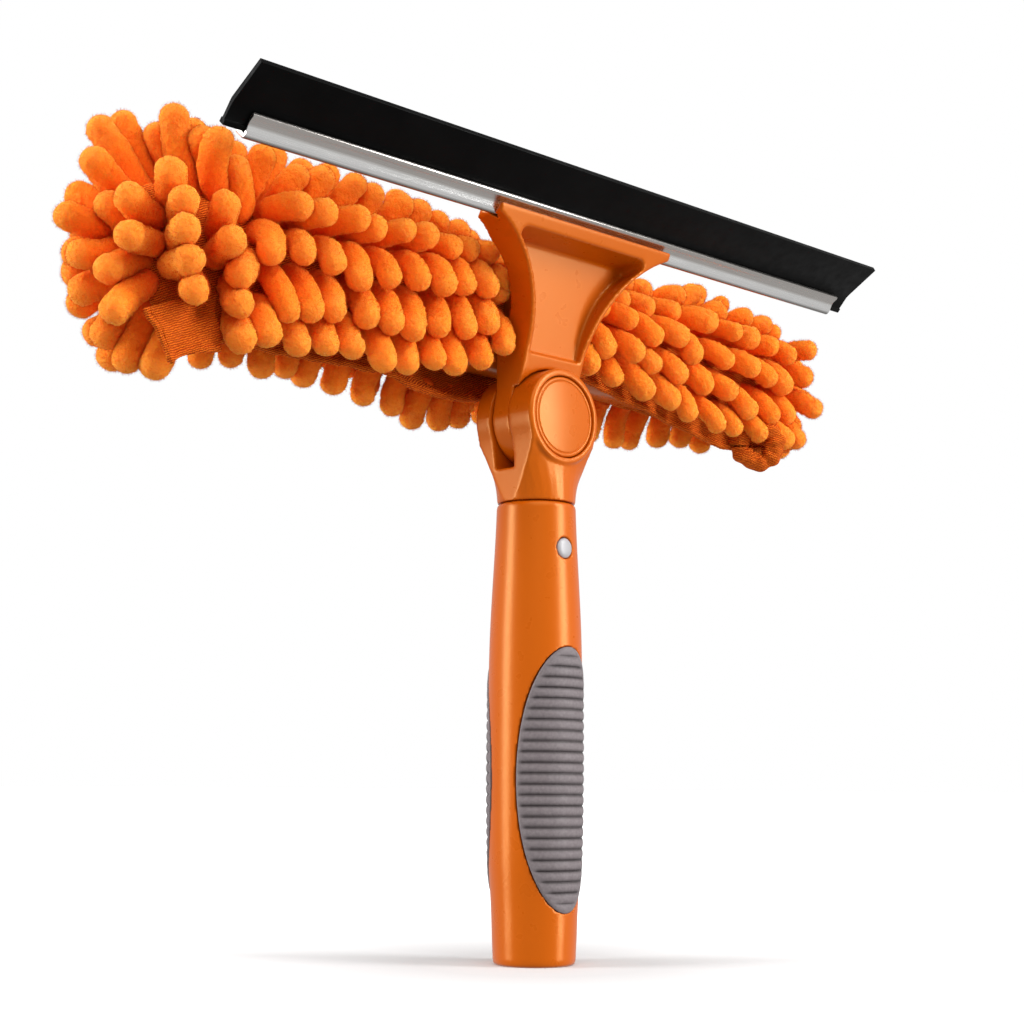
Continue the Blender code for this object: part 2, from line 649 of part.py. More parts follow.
def build_blade():
    top, back = CHANNEL_HEIGHT / MM, -CHANNEL_DEPTH / MM
    section = [(0.0, -0.7), (0.5, -0.1), (1.6, 0.15), (2.8, 0.0), (4.2, -0.45), (5.6, -0.55), (6.8, -0.2),
               (7.6, 0.1), (top - 0.4, 0.0), (top, -0.6), (top, -1.5), (4.0, -1.5), (4.0, -0.95),
               (1.6, -0.95), (1.6, -4.3), (4.0, -4.3), (4.0, -3.7), (top, -3.7), (top, back + 0.5),
               (top - 0.5, back), (0.6, back), (0.0, back + 0.6)]
    loop = [blade_point(up * MM, out * MM) for up, out in section]
    channel = outline("blade_channel", [loop], CHANNEL_LENGTH, ALONG_X)
    part(channel, "blade_channel", (0.62, 0.61, 0.60), 0.3, 1.0)
    half = RUBBER_HALF_THICK
    bend = blade_point(9.7 * MM, -2.6 * MM)
    flap = Vector((RUBBER_EDGE[0] - bend[0], RUBBER_EDGE[1] - bend[1])).normalized()
    normal = Vector((-flap.y, flap.x))
    edge = Vector(RUBBER_EDGE)
    knee = Vector(bend)
    bulb = [(3.7, -1.85), (3.7, -1.3), (1.9, -1.3), (1.9, -3.95), (3.7, -3.95), (3.7, -3.35)]
    rubber = [tuple(edge + normal * half), tuple(knee + flap * 1.0 * MM + normal * half)]
    rubber.append(blade_point(8.9 * MM, -1.75 * MM))
    rubber += [blade_point(up * MM, out * MM) for up, out in bulb]
    rubber.append(blade_point(8.9 * MM, -3.45 * MM))
    rubber += [tuple(knee + flap * 0.4 * MM - normal * half), tuple(edge - normal * half)]
    blade = outline("squeegee_rubber", [rubber], RUBBER_LENGTH, ALONG_X)
    part(blade, "squeegee_rubber", (0.006, 0.006, 0.007), 0.45)
    made = [channel, blade]
    for label, x in (("left", -CHANNEL_SCREW_X), ("right", CHANNEL_SCREW_X)):
        screw = screw_shape("channel_screw_" + label, 2.2 * MM)
        screw.location, screw.rotation_euler = channel_screw_frame(x, -8.3 * MM)
        made.append(part(screw, "channel_screw_" + label, STEEL, 0.3, 1.0))
    return made


# ---------------------------------------------------------------- scrubber bar and sleeve

def rounded_box(low_y, high_y, low_z, high_z, radius, steps=4):
    points = []
    corners = (((high_y - radius), (high_z - radius), 0), ((low_y + radius), (high_z - radius), 90),
               ((low_y + radius), (low_z + radius), 180), ((high_y - radius), (low_z + radius), 270))
    for y, z, start in corners:
        points += arc((y, z), radius, start, start + 90, steps)
    return points


def build_bar():
    outer = rounded_box(BAR_FRONT, BAR_BACK, BAR_BOTTOM, BAR_TOP, 7.0 * MM)
    inner = rounded_box(BAR_FRONT + BAR_WALL, BAR_BACK - BAR_WALL, BAR_BOTTOM + BAR_WALL,
                        BAR_TOP - BAR_WALL, 7.0 * MM - BAR_WALL)
    bar = outline("scrubber_bar", [outer, inner], BAR_LENGTH, ALONG_X)
    made = [bar]
    for label, x in (("left", -BAR_SCREW_X), ("right", BAR_SCREW_X)):
        hole = rod("bar_hole", SCREW_R + GAP, 0.0, 15 * MM, 16)
        access = rod("bar_access", SCREW_HEAD_R + 0.8 * MM, 20 * MM, 35 * MM, 16)
        for cutter in (hole, access):
            cutter.location.x = x
            cutter.location.z = BAR_SCREW_Z
            combine(bar, cutter)
        screw = screw_shape("bar_screw_" + label, 10.0 * MM)
        screw.rotation_euler = TURNED_ON_Y
        screw.location = (x, BAR_FRONT + BAR_WALL + GAP, BAR_SCREW_Z)
        made.append(part(screw, "bar_screw_" + label, STEEL, 0.3, 1.0))
    part(bar, "scrubber_bar", ORANGE, 0.42)
    return made


def sleeve_ring(x, share):
    """The sleeve's outer section at x: share 1 in the middle, drawn in towards its ends."""
    centre = (15.0 * MM, 226.0 * MM)
    section = [(-17.5, 206.5), (-21.5, 212), (-23, 226), (-19.5, 239), (-12.5, 246), (-8, 256), (3, 262),
               (16, 264.5), (32, 261), (45, 250), (51, 234), (51, 214), (46, 199), (37, 191), (25, 190.5),
               (19.5, 196), (19.5, 206.5)]
    ring = []
    for y, z in section:
        ring.append((x, centre[0] + (y * MM - centre[0]) * share, centre[1] + (z * MM - centre[1]) * share))
    return ring


def build_sleeve():
    half = SLEEVE_LENGTH / 2
    stations = [(-half, 0.72), (-half + 6 * MM, 0.9), (-half + 16 * MM, 1.0), (-30 * MM, 1.0), (30 * MM, 1.0),
                (half - 16 * MM, 1.0), (half - 6 * MM, 0.9), (half, 0.72)]
    sleeve = loft("scrubber_sleeve", [sleeve_ring(x, share) for x, share in stations])
    clear = 1.2 * MM
    pocket = rounded_box(BAR_FRONT - clear, BAR_BACK + clear, 180 * MM, BAR_TOP + clear, 7 * MM)
    combine(sleeve, outline("bar_pocket", [pocket], SLEEVE_POCKET_LENGTH, ALONG_X))
    notch = [(yoke_half_width(z * MM) + 3.5 * MM, z * MM) for z in (185, 208, 220, 230, 238, 244, 249, 275)]
    combine(sleeve, outline("yoke_notch", [mirrored(notch)], 46 * MM, ALONG_Y, (0.0, -14.5 * MM, 0.0)))
    part(sleeve, "scrubber_sleeve", (0.95, 0.24, 0.02), 0.9)
    return [sleeve]


# ---------------------------------------------------------------- assembly

def on_axis(name, location, children):
    """An empty on a joint's axis, with the pieces that move on it as its children."""
    empty = bpy.data.objects.new(name, None)
    empty.location = location
    PARTS.objects.link(empty)
    for child in children:
        child.parent = empty
        child.matrix_parent_inverse = Matrix.Translation(location).inverted()


build_handle()
build_fork()
build_pin()
snap = build_snap()
lock = build_lock()
head = build_yoke() + build_blade() + build_bar() + build_sleeve()
on_axis("head_axis", Vector((0.0, 0.0, PIVOT_Z)), head)
on_axis("lock_axis", Vector((0.0, 0.0, PIVOT_Z)), lock)
on_axis("snap_axis", Vector((0.0, 0.0, SNAP_Z)), snap)
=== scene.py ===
"""The looks of a window squeegee with a pile scrubber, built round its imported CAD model.

Millimetres in the section helpers, metres in every mesh. X runs along the blade, -Y is the
front with the lock button, and Z is up. The head is at rest, square to the handle.
"""

import json
import math

import bmesh
import bpy
import numpy as np
from mathutils import Matrix, Vector, noise


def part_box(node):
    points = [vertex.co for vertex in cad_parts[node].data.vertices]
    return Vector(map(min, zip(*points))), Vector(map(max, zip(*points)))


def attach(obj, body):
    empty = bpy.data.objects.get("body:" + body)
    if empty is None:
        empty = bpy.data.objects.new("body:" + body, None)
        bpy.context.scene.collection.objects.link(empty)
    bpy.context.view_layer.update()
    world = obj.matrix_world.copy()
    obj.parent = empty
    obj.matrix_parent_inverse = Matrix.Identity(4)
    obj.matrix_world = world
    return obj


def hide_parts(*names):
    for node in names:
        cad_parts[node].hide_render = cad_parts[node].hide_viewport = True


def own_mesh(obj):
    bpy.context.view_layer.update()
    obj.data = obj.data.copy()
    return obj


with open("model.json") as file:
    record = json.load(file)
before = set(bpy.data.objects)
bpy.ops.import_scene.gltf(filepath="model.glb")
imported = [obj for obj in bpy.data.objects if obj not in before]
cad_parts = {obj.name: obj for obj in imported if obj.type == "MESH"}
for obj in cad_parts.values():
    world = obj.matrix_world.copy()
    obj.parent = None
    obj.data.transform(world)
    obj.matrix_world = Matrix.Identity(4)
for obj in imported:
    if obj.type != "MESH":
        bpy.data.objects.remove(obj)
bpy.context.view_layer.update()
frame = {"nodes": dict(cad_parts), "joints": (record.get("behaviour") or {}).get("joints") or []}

MM = 0.001
rng = np.random.default_rng(11)

# Places read from the frame, in mm.
BAR_LOW, BAR_HIGH = (Vector(c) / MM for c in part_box("scrubber_bar"))
YOKE_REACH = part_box("yoke")[1].x / MM
PIVOT_Z = frame["joints"][0]["pos_m"][2] / MM
BAR_Y = round((BAR_LOW.y + BAR_HIGH.y) / 2, 3)
BAR_Z = 222.0


# ---------------------------------------------------------------- camera, light and floor

def make_camera():
    """The camera in front and to the left of the tool, a little below the head."""
    turn, lift, roll = math.radians(-44.394), -math.radians(8.299), math.radians(0.387)
    distance, height, side = 0.6468, 0.1548, 0.0085
    back = Vector((math.sin(turn) * math.cos(lift), -math.cos(turn) * math.cos(lift), math.sin(lift)))
    right = Vector((math.cos(turn), math.sin(turn), 0.0))
    up = back.cross(right)
    across = right * math.cos(roll) + up * math.sin(roll)
    above = up * math.cos(roll) - right * math.sin(roll)
    place = Vector((0.0, 0.0, height)) - right * side + back * distance
    camera = bpy.data.objects.new("camera", bpy.data.cameras.new("camera"))
    camera.data.sensor_width = 36.0
    camera.data.lens = 64.8
    camera.data.clip_start = 0.01
    rows = [(across[i], above[i], back[i], place[i]) for i in range(3)]
    camera.matrix_world = Matrix(rows + [(0.0, 0.0, 0.0, 1.0)])
    bpy.context.scene.collection.objects.link(camera)
    bpy.context.scene.camera = camera


def strip_light(name, place, power):
    """A tall soft box that faces the middle of the tool."""
    middle = Vector((0.0, 0.0, 0.15))
    lamp = bpy.data.lights.new(name, "AREA")
    lamp.shape = "RECTANGLE"
    lamp.size, lamp.size_y = 0.45, 1.5
    lamp.energy = power
    made = bpy.data.objects.new(name, lamp)
    made.location = place
    made.rotation_euler = (middle - Vector(place)).to_track_quat("-Z", "Y").to_euler()
    bpy.context.scene.collection.objects.link(made)


def make_floor():
    """A pale floor of one colour, which glows away from the tool so that it meets the sky unseen."""
    bpy.ops.mesh.primitive_circle_add(vertices=96, radius=12.0, fill_type="NGON")
    floor = bpy.context.object
    floor.name = "floor"
    paint, tree, shader = finish("floor_white", (0.60, 0.60, 0.60), 0.8,
                                 Emission_Color=(1.0, 1.0, 1.0, 1.0))
    place = node(tree, "ShaderNodeTexCoord").outputs["Object"]
    spread = node(tree, "ShaderNodeVectorMath", {0: place}, operation="LENGTH").outputs["Value"]
    lift = node(tree, "ShaderNodeMapRange", {"Value": spread, "From Min": 0.04, "From Max": 0.22,
                                             "To Min": 0.0, "To Max": 0.72}).outputs["Result"]
    tree.links.new(lift, shader.inputs["Emission Strength"])
    floor.data.materials.append(paint)
    floor.visible_diffuse = False
    floor.visible_glossy = False


def make_light():
    """A white sky that lights less than it shows, a wide sun overhead, and a strip at each side."""
    world = bpy.data.worlds.new("studio")
    world.use_nodes = True
    sky = world.node_tree.nodes["Background"]
    sky.inputs["Color"].default_value = (1.0, 1.0, 1.0, 1.0)
    seen = world.node_tree.nodes.new("ShaderNodeLightPath").outputs["Is Camera Ray"]
    strength = node(world.node_tree, "ShaderNodeMapRange", {"Value": seen, "To Min": 0.56, "To Max": 1.0})
    world.node_tree.links.new(strength.outputs["Result"], sky.inputs["Strength"])
    bpy.context.scene.world = world
    bpy.context.scene.view_settings.view_transform = "Standard"
    sun = bpy.data.objects.new("overhead", bpy.data.lights.new("overhead", "SUN"))
    sun.data.energy = 1.4
    sun.data.angle = math.radians(60)
    sun.rotation_euler = (math.radians(30), math.radians(-26), 0.0)
    bpy.context.scene.collection.objects.link(sun)
    strip_light("strip_left", (-1.12, 0.66, 0.42), 24.0)
    strip_light("strip_right", (0.66, -1.12, 0.42), 28.0)


# ---------------------------------------------------------------- materials

def finish(name, colour, roughness, **values):
    """A material, its node tree and its Principled shader, with plain values on the sockets."""
    made = bpy.data.materials.new(name)
    made.use_nodes = True
    tree = made.node_tree
    shader = tree.nodes["Principled BSDF"]
    shader.inputs["Base Color"].default_value = (*colour, 1.0)
    shader.inputs["Roughness"].default_value = roughness
    for socket, value in values.items():
        shader.inputs[socket.replace("_", " ")].default_value = value
    return made, tree, shader


def node(tree, kind, inputs=None, **settings):
    """A new node with its settings, and its inputs linked to sockets or set to values."""
    made = tree.nodes.new(kind)
    for key, value in settings.items():
        setattr(made, key, value)
    for key, value in (inputs or {}).items():
        if isinstance(value, bpy.types.NodeSocket):
            tree.links.new(value, made.inputs[key])
        else:
            made.inputs[key].default_value = value
    return made


def noise_of(tree, scale, detail=2.0, roughness=0.5, vector=None):
    """A noise texture's value, in object space. Scale is in cells a metre."""
    source = vector or node(tree, "ShaderNodeTexCoord").outputs["Object"]
    return node(tree, "ShaderNodeTexNoise", {"Vector": source, "Scale": scale, "Detail": detail,
                                             "Roughness": roughness}).outputs["Fac"]


def ramp(tree, factor, stops):
    """A colour ramp over (place, colour) stops."""
    made = node(tree, "ShaderNodeValToRGB", {"Fac": factor})
    elements = made.color_ramp.elements
    while len(elements) < len(stops):
        elements.new(0.5)
    for element, (place, colour) in zip(elements, stops):
        element.position = place
        element.color = (*colour, 1.0)
    return made.outputs["Color"]


def levels(tree, value, low, high):
    """Maps noise from its usual 0.3 to 0.7 onto low to high."""
    return node(tree, "ShaderNodeMapRange", {"Value": value, "From Min": 0.3, "From Max": 0.7,
                                             "To Min": low, "To Max": high}).outputs["Result"]


def math_of(tree, operation, first, second):
    return node(tree, "ShaderNodeMath", {0: first, 1: second}, operation=operation).outputs[0]


def times(tree, first, second):
    """One colour multiplied by another."""
    return node(tree, "ShaderNodeMix", {"Factor": 1.0, "A": first, "B": second}, data_type="RGBA",
                blend_type="MULTIPLY").outputs["Result"]


def bump(tree, shader, height, distance, under=None):
    """Relief of the given depth in metres, on top of the relief in under."""
    inputs = {"Height": height, "Distance": distance, "Strength": 1.0}
    if under is not None:
        inputs["Normal"] = under
    made = node(tree, "ShaderNodeBump", inputs)
    tree.links.new(made.outputs["Normal"], shader.inputs["Normal"])
    return made.outputs["Normal"]


def moulded(name, colour, dark, roughness, grain=0.000008, **values):
    """Injection-moulded plastic: faint colour drift, a fine moulded grain and uneven gloss."""
    made, tree, shader = finish(name, colour, roughness, **values)
    drift = noise_of(tree, 45.0, 3.0)
    tree.links.new(ramp(tree, drift, [(0.35, dark), (0.62, colour)]), shader.inputs["Base Color"])
    gloss = levels(tree, noise_of(tree, 180.0, 2.0), roughness - 0.01, roughness + 0.015)
    tree.links.new(gloss, shader.inputs["Roughness"])
    bump(tree, shader, noise_of(tree, 2600.0, 2.0), grain)
    return made


def pile_material():
    """Chenille: painted shade makes it deeper and redder towards the roots and paler at the tips, with a
    velvet edge and nap.
    """
    made, tree, shader = finish("pile_fabric", (0.98, 0.22, 0.013), 0.85, Sheen_Weight=0.45,
                                Sheen_Roughness=0.5, Sheen_Tint=(1.0, 0.42, 0.08, 1.0),
                                Specular_IOR_Level=0.1, Subsurface_Weight=0.6, Subsurface_Scale=0.006,
                                Subsurface_Radius=(1.0, 0.4, 0.1))
    reach = node(tree, "ShaderNodeAttribute", attribute_name="reach").outputs["Fac"]
    tint = node(tree, "ShaderNodeAttribute", attribute_name="tint").outputs["Fac"]
    nap = noise_of(tree, 1500.0, 3.0, 0.65)
    patch = noise_of(tree, 300.0, 2.0)
    along = math_of(tree, "ADD", reach, math_of(tree, "MULTIPLY", tint, 0.12))
    mixed = math_of(tree, "ADD", along, math_of(tree, "MULTIPLY", patch, 0.22))
    # Painted shade: the colour darkens and reddens from each finger's tip down to its root, where the fingers
    # crowd.
    shade = ramp(tree, mixed, [(0.05, (1.0, 0.09, 0.005)), (0.45, (1.0, 0.18, 0.009)),
                               (0.8, (1.0, 0.245, 0.017)), (1.0, (1.0, 0.285, 0.03))])
    speck = ramp(tree, nap, [(0.3, (0.93, 0.86, 0.75)), (0.55, (1.0, 1.0, 1.0))])
    tree.links.new(times(tree, shade, speck), shader.inputs["Base Color"])
    soft = bump(tree, shader, noise_of(tree, 700.0, 2.0), 0.0006)
    bump(tree, shader, nap, 0.00035, under=soft)
    return made


def woven_material():
    """The sleeve's ribbed lining: slanting ridges of thread, with a dark between them."""
    deep, pale = (0.40, 0.030, 0.001), (0.78, 0.115, 0.005)
    made, tree, shader = finish("lining", pale, 0.9, Specular_IOR_Level=0.1)
    place = node(tree, "ShaderNodeTexCoord").outputs["Object"]
    wander = node(tree, "ShaderNodeTexNoise", {"Vector": place, "Scale": 220.0, "Detail": 2.0})
    stray = (0.0009, 0.0009, 0.0009)
    bent = node(tree, "ShaderNodeVectorMath", {0: wander.outputs["Color"], 1: stray},
                operation="MULTIPLY").outputs["Vector"]
    moved = node(tree, "ShaderNodeVectorMath", {0: place, 1: bent}, operation="ADD").outputs["Vector"]
    turned = node(tree, "ShaderNodeMapping", {"Vector": moved, "Rotation": (0.0, 0.42, 0.0)})
    rib = node(tree, "ShaderNodeTexWave", {"Vector": turned.outputs["Vector"], "Scale": 470.0,
                                           "Distortion": 2.6, "Detail": 1.0, "Detail Scale": 3.0},
               bands_direction="Z").outputs["Fac"]
    cross = node(tree, "ShaderNodeTexWave", {"Vector": turned.outputs["Vector"], "Scale": 560.0,
                                             "Distortion": 1.5, "Detail Scale": 2.0},
                 bands_direction="X").outputs["Fac"]
    thread = math_of(tree, "MULTIPLY", math_of(tree, "ADD", rib, math_of(tree, "MULTIPLY", cross, 0.35)),
                     math_of(tree, "ADD", noise_of(tree, 900.0, 3.0), 0.55))
    shade = ramp(tree, thread, [(0.12, deep), (0.7, pale), (1.2, (0.90, 0.19, 0.012))])
    tree.links.new(shade, shader.inputs["Base Color"])
    bump(tree, shader, thread, 0.00045)
    return made


def ribbed_rubber():
    """The grips' soft rubber: matt, a little dusty on its ribs, with painted shade in its grooves."""
    made, tree, shader = finish("grip_rubber", (0.145, 0.122, 0.126), 0.62, Specular_IOR_Level=0.3)
    dust = noise_of(tree, 900.0, 4.0, 0.65)
    shade = ramp(tree, dust, [(0.3, (0.122, 0.102, 0.106)), (0.7, (0.168, 0.143, 0.147))])
    groove = node(tree, "ShaderNodeAttribute", attribute_name="groove").outputs["Fac"]
    # Painted shade: the colour is darkened where the groove attribute is high, down in the grooves between
    # the ribs.
    dim = ramp(tree, groove, [(0.05, (1.12, 1.12, 1.12)), (0.5, (0.30, 0.28, 0.28))])
    tree.links.new(times(tree, shade, dim), shader.inputs["Base Color"])
    tree.links.new(levels(tree, noise_of(tree, 300.0, 3.0), 0.52, 0.7), shader.inputs["Roughness"])
    bump(tree, shader, dust, 0.00005)
    return made


def black_rubber():
    """The blade's rubber: near black, with a faint bloom."""
    made, tree, shader = finish("black_rubber", (0.004, 0.004, 0.004), 0.42, Specular_IOR_Level=0.05)
    bloom = noise_of(tree, 70.0, 4.0, 0.6)
    tree.links.new(ramp(tree, bloom, [(0.35, (0.0015, 0.0015, 0.0015)), (0.75, (0.003, 0.003, 0.003))]),
                   shader.inputs["Base Color"])
    tree.links.new(levels(tree, noise_of(tree, 240.0, 3.0), 0.34, 0.52), shader.inputs["Roughness"])
    bump(tree, shader, noise_of(tree, 1400.0, 3.0), 0.00001)
    return made


def brushed_metal(name, colour, roughness, along=(1.0, 60.0, 60.0), painted_reflection_bands=None):
    """Drawn or turned metal: fine streaks along the piece, and on the channel light and dark stripes painted
    by height as painted reflections.
    """
    made, tree, shader = finish(name, colour, roughness, Metallic=1.0)
    place = node(tree, "ShaderNodeTexCoord").outputs["Object"]
    stretched = node(tree, "ShaderNodeMapping", {"Vector": place, "Scale": along}).outputs["Vector"]
    streak = noise_of(tree, 90.0, 4.0, 0.6, stretched)
    dim = tuple(c * 0.93 for c in colour)
    shade = ramp(tree, streak, [(0.35, dim), (0.65, colour)])
    # Painted reflections: the channel's light and dark stripes are painted into its colour by height.
    if painted_reflection_bands:
        low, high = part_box("blade_channel")
        height = node(tree, "ShaderNodeSeparateXYZ", {"Vector": place}).outputs["Z"]
        height = node(tree, "ShaderNodeMapRange", {"Value": height, "From Min": low.z,
                                                   "From Max": high.z}).outputs["Result"]
        shade = times(tree, shade, ramp(tree, height, painted_reflection_bands))
    tree.links.new(shade, shader.inputs["Base Color"])
    tree.links.new(levels(tree, streak, roughness - 0.04, roughness + 0.06), shader.inputs["Roughness"])
    bump(tree, shader, streak, 0.000004)
    return made


# ---------------------------------------------------------------- mesh helpers

def steps(value, table):
    """Reads a value off a table of (place, value) pairs, with straight lines between them."""
    return np.interp(value, [t[0] for t in table], [t[1] for t in table])


def unit(v):
    return v / np.maximum(np.linalg.norm(v, axis=-1, keepdims=True), 1e-9)


def evenly(line, count):
    """A line resampled to count points, evenly spaced along it, and its length."""
    chord = np.concatenate([[0.0], np.cumsum(np.linalg.norm(np.diff(line, axis=0), axis=1))])
    even = np.linspace(0.0, chord[-1], count)
    return np.stack([np.interp(even, chord, column) for column in line.T], 1), chord[-1]


def relaxed(line, rounds):
    """Smooths a line in place, with its two ends held."""
    for _ in range(rounds):
        line[1:-1] = 0.25 * line[:-2] + 0.5 * line[1:-1] + 0.25 * line[2:]
    return line


def ready(obj, body, slot, material, *nodes):
    """Gives a finished piece its material and its body, and hides the nodes it stands for. Slot is not used.
    """
    obj.data.materials.clear()
    obj.data.materials.append(material)
    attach(obj, body)
    if nodes:
        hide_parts(*nodes)
    return obj


def mesh_object(name, points, faces):
    """An object from points in mm and faces as index tuples or an (n, 4) array."""
    mesh = bpy.data.meshes.new(name)
    co = np.asarray(points, float) * MM
    mesh.vertices.add(len(co))
    mesh.vertices.foreach_set("co", co.astype(np.float32).ravel())
    sizes = np.array([len(f) for f in faces])
    loops = faces.ravel() if isinstance(faces, np.ndarray) else np.concatenate([np.asarray(f) for f in faces])
    mesh.loops.add(len(loops))
    mesh.loops.foreach_set("vertex_index", loops.astype(np.int32))
    mesh.polygons.add(len(sizes))
    mesh.polygons.foreach_set("loop_start", (np.cumsum(sizes) - sizes).astype(np.int32))
    mesh.polygons.foreach_set("use_smooth", np.full(len(sizes), True))
    mesh.update(calc_edges=True)
    mesh.validate()
    made = bpy.data.objects.new(name, mesh)
    bpy.context.scene.collection.objects.link(made)
    return made


def grid_faces(rows, columns, closed=False):
    """Quads of a rows by columns grid of points. Closed joins each row's ends."""
    last = columns if closed else columns - 1
    r, c = np.meshgrid(np.arange(rows - 1), np.arange(last), indexing="ij")
    n = (c + 1) % columns
    quads = np.stack([r * columns + c, r * columns + n, (r + 1) * columns + n, (r + 1) * columns + c], -1)
    return quads.reshape(-1, 4)


def applied(obj):
    """Turns an object's modifiers into its mesh."""
    shown = obj.evaluated_get(bpy.context.evaluated_depsgraph_get())
    mesh = bpy.data.meshes.new_from_object(shown)
    obj.modifiers.clear()
    obj.data = mesh
    return obj


def copy_of(name, node_name):
    """A welded copy of a CAD node, with its flat faces whole again and no stored normals."""
    source = frame["nodes"][node_name]
    bm = bmesh.new()
    bm.from_mesh(source.data)
    bmesh.ops.remove_doubles(bm, verts=bm.verts, dist=1e-6)
    bmesh.ops.dissolve_limit(bm, angle_limit=math.radians(0.5), verts=bm.verts, edges=bm.edges)
    mesh = bpy.data.meshes.new(name)
    bm.to_mesh(mesh)
    bm.free()
    made = bpy.data.objects.new(name, mesh)
    bpy.context.scene.collection.objects.link(made)
    return made


def eased(name, node_name, width, segments=2, angle=32.0):
    """A copy of a CAD node with its sharp edges rounded by width, in mm."""
    made = copy_of(name, node_name)
    edge = made.modifiers.new("edge", "BEVEL")
    edge.width = width * MM
    edge.segments = segments
    edge.limit_method = "ANGLE"
    edge.angle_limit = math.radians(angle)
    edge.use_clamp_overlap = True
    applied(made)
    made.data.shade_smooth()
    made.data.set_sharp_from_angle(angle=math.radians(angle))
    return made


def cast_form(name, node_name, voxel, passes):
    """A copy of a CAD node as a mould would cast it: every edge and inner corner has a fillet."""
    made = copy_of(name, node_name)
    remesh = made.modifiers.new("cast", "REMESH")
    remesh.mode = "VOXEL"
    remesh.voxel_size = voxel * MM * 1.0
    remesh.use_smooth_shade = True
    smooth = made.modifiers.new("fillet", "SMOOTH")
    smooth.factor = 0.5
    smooth.iterations = passes
    return applied(made)


# ---------------------------------------------------------------- hard parts

def make_hard_parts():
    """Every piece of plastic, metal and rubber, each made from its own CAD node."""
    orange = moulded("orange_plastic", (0.50, 0.088, 0.001), (0.492, 0.086, 0.001), 0.28,
                     Specular_IOR_Level=0.6, Specular_Tint=(1.0, 0.60, 0.20, 1.0))
    steel = brushed_metal("steel", (0.60, 0.61, 0.63), 0.28, (20.0, 20.0, 20.0))
    nylon = moulded("nylon", (0.72, 0.70, 0.66), (0.66, 0.64, 0.60), 0.45, Subsurface_Weight=0.1,
                    Subsurface_Scale=0.001)
    white = moulded("white_plastic", (0.35, 0.34, 0.35), (0.32, 0.31, 0.32), 0.32)
    # The channel's light and dark stripes are painted reflections, set by height.
    metal = brushed_metal("aluminium", (0.92, 0.91, 0.89), 0.24, painted_reflection_bands=(
        (0.02, (0.25, 0.24, 0.23)), (0.08, (0.95, 0.95, 0.96)), (0.30, (1.0, 1.0, 1.0)),
        (0.39, (0.60, 0.57, 0.55)), (0.64, (0.55, 0.52, 0.50)), (0.74, (0.40, 0.385, 0.37))))
    ready(cast_form("yoke_casting", "yoke", 0.55, 5), "head", "orange_plastic", orange, "yoke")
    ready(cast_form("fork_casting", "fork_housing", 0.5, 4), "handle", "orange_plastic", orange,
          "fork_housing")
    make_handle(orange, ribbed_rubber())
    for name, node_name, body, slot, material, width in (
            ("handle_plug", "end_plug", "handle", "orange_plastic", orange, 0.4),
            ("pin_cap", "pivot_cap", "handle", "orange_plastic", orange, 0.3),
            ("hinge_pin", "pivot_pin", "handle", "steel", steel, 0.25),
            ("press_button", "lock_button", "lock", "orange_plastic", orange, 0.35),
            ("toothed_hub", "lock_hub", "lock", "nylon", nylon, 0.2),
            ("release_button", "snap_button", "snap", "white_plastic", white, 0.15),
            ("blade_extrusion", "blade_channel", "head", "aluminium", metal, 0.16),
            ("blade_rubber", "squeegee_rubber", "head", "black_rubber", black_rubber(), 0.25),
            ("bar_tube", "scrubber_bar", "head", "orange_plastic", orange, 0.4),
            ("jaw_screw_left", "channel_screw_left", "head", "steel", steel, 0.15),
            ("jaw_screw_right", "channel_screw_right", "head", "steel", steel, 0.15),
            ("boss_screw_left", "bar_screw_left", "head", "steel", steel, 0.15),
            ("boss_screw_right", "bar_screw_right", "head", "steel", steel, 0.15)):
        ready(eased(name, node_name, width), body, slot, material, node_name)
    for name, node_name, joint, fixed_end in (
            ("button_spring", "lock_spring", "lock_press", 3.3),
            ("catch_spring", "snap_spring", "snap_press", 7.4)):
        spring = eased(name, node_name, 0.02, segments=1, angle=60.0)
        ready(spring, "handle", "steel", steel, node_name)
        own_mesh(spring)


def outer_radius():
    """The radius of the handle's skin, in mm, as a smooth function of height.

    Heights where the CAD has only the floor of a grip's pocket, or the bore, are passed over.
    """
    pocket, window, step = 1.2, 9.0, 0.5
    co = np.array([v.co for v in frame["nodes"]["handle_shell"].data.vertices]) / MM
    radius = np.hypot(co[:, 0], co[:, 1])
    rows = []
    for z in np.unique(np.round(co[co[:, 2] > 0.7, 2], 1)):
        level = radius[np.abs(co[:, 2] - z) < 0.06]
        around = radius[np.abs(co[:, 2] - z) < window]
        if level.max() > max(13.0, around.max() - pocket):
            rows.append((z, level.max()))
    even = np.arange(-12.0, 172.0, step)
    line = steps(even, rows)
    weight = np.exp(-0.5 * (np.arange(-16, 17) / 6.0) ** 2)
    line[16:-16] = np.convolve(line, weight / weight.sum(), mode="valid")
    return lambda z: np.interp(z, even, line)


def make_handle(orange, rubber):
    """The handle cast from its CAD node, with its skin trued to a smooth turned surface."""
    curve = outer_radius()
    shell = cast_form("handle_casting", "handle_shell", 0.62, 4)
    co = np.array([v.co for v in shell.data.vertices])
    radius = np.hypot(co[:, 0], co[:, 1])
    true = curve(co[:, 2] / MM) * MM
    skin = (np.abs(radius - true) < 0.45 * MM) & (co[:, 2] > 1.6 * MM) & (co[:, 2] < 155.5 * MM)
    co[skin, :2] *= (true[skin] / radius[skin])[:, None]
    shell.data.vertices.foreach_set("co", co.astype(np.float32).ravel())
    ready(shell, "handle", "orange_plastic", orange, "handle_shell")
    for side, label in ((-1.0, "front"), (1.0, "back")):
        make_grip(label, side, curve, rubber)


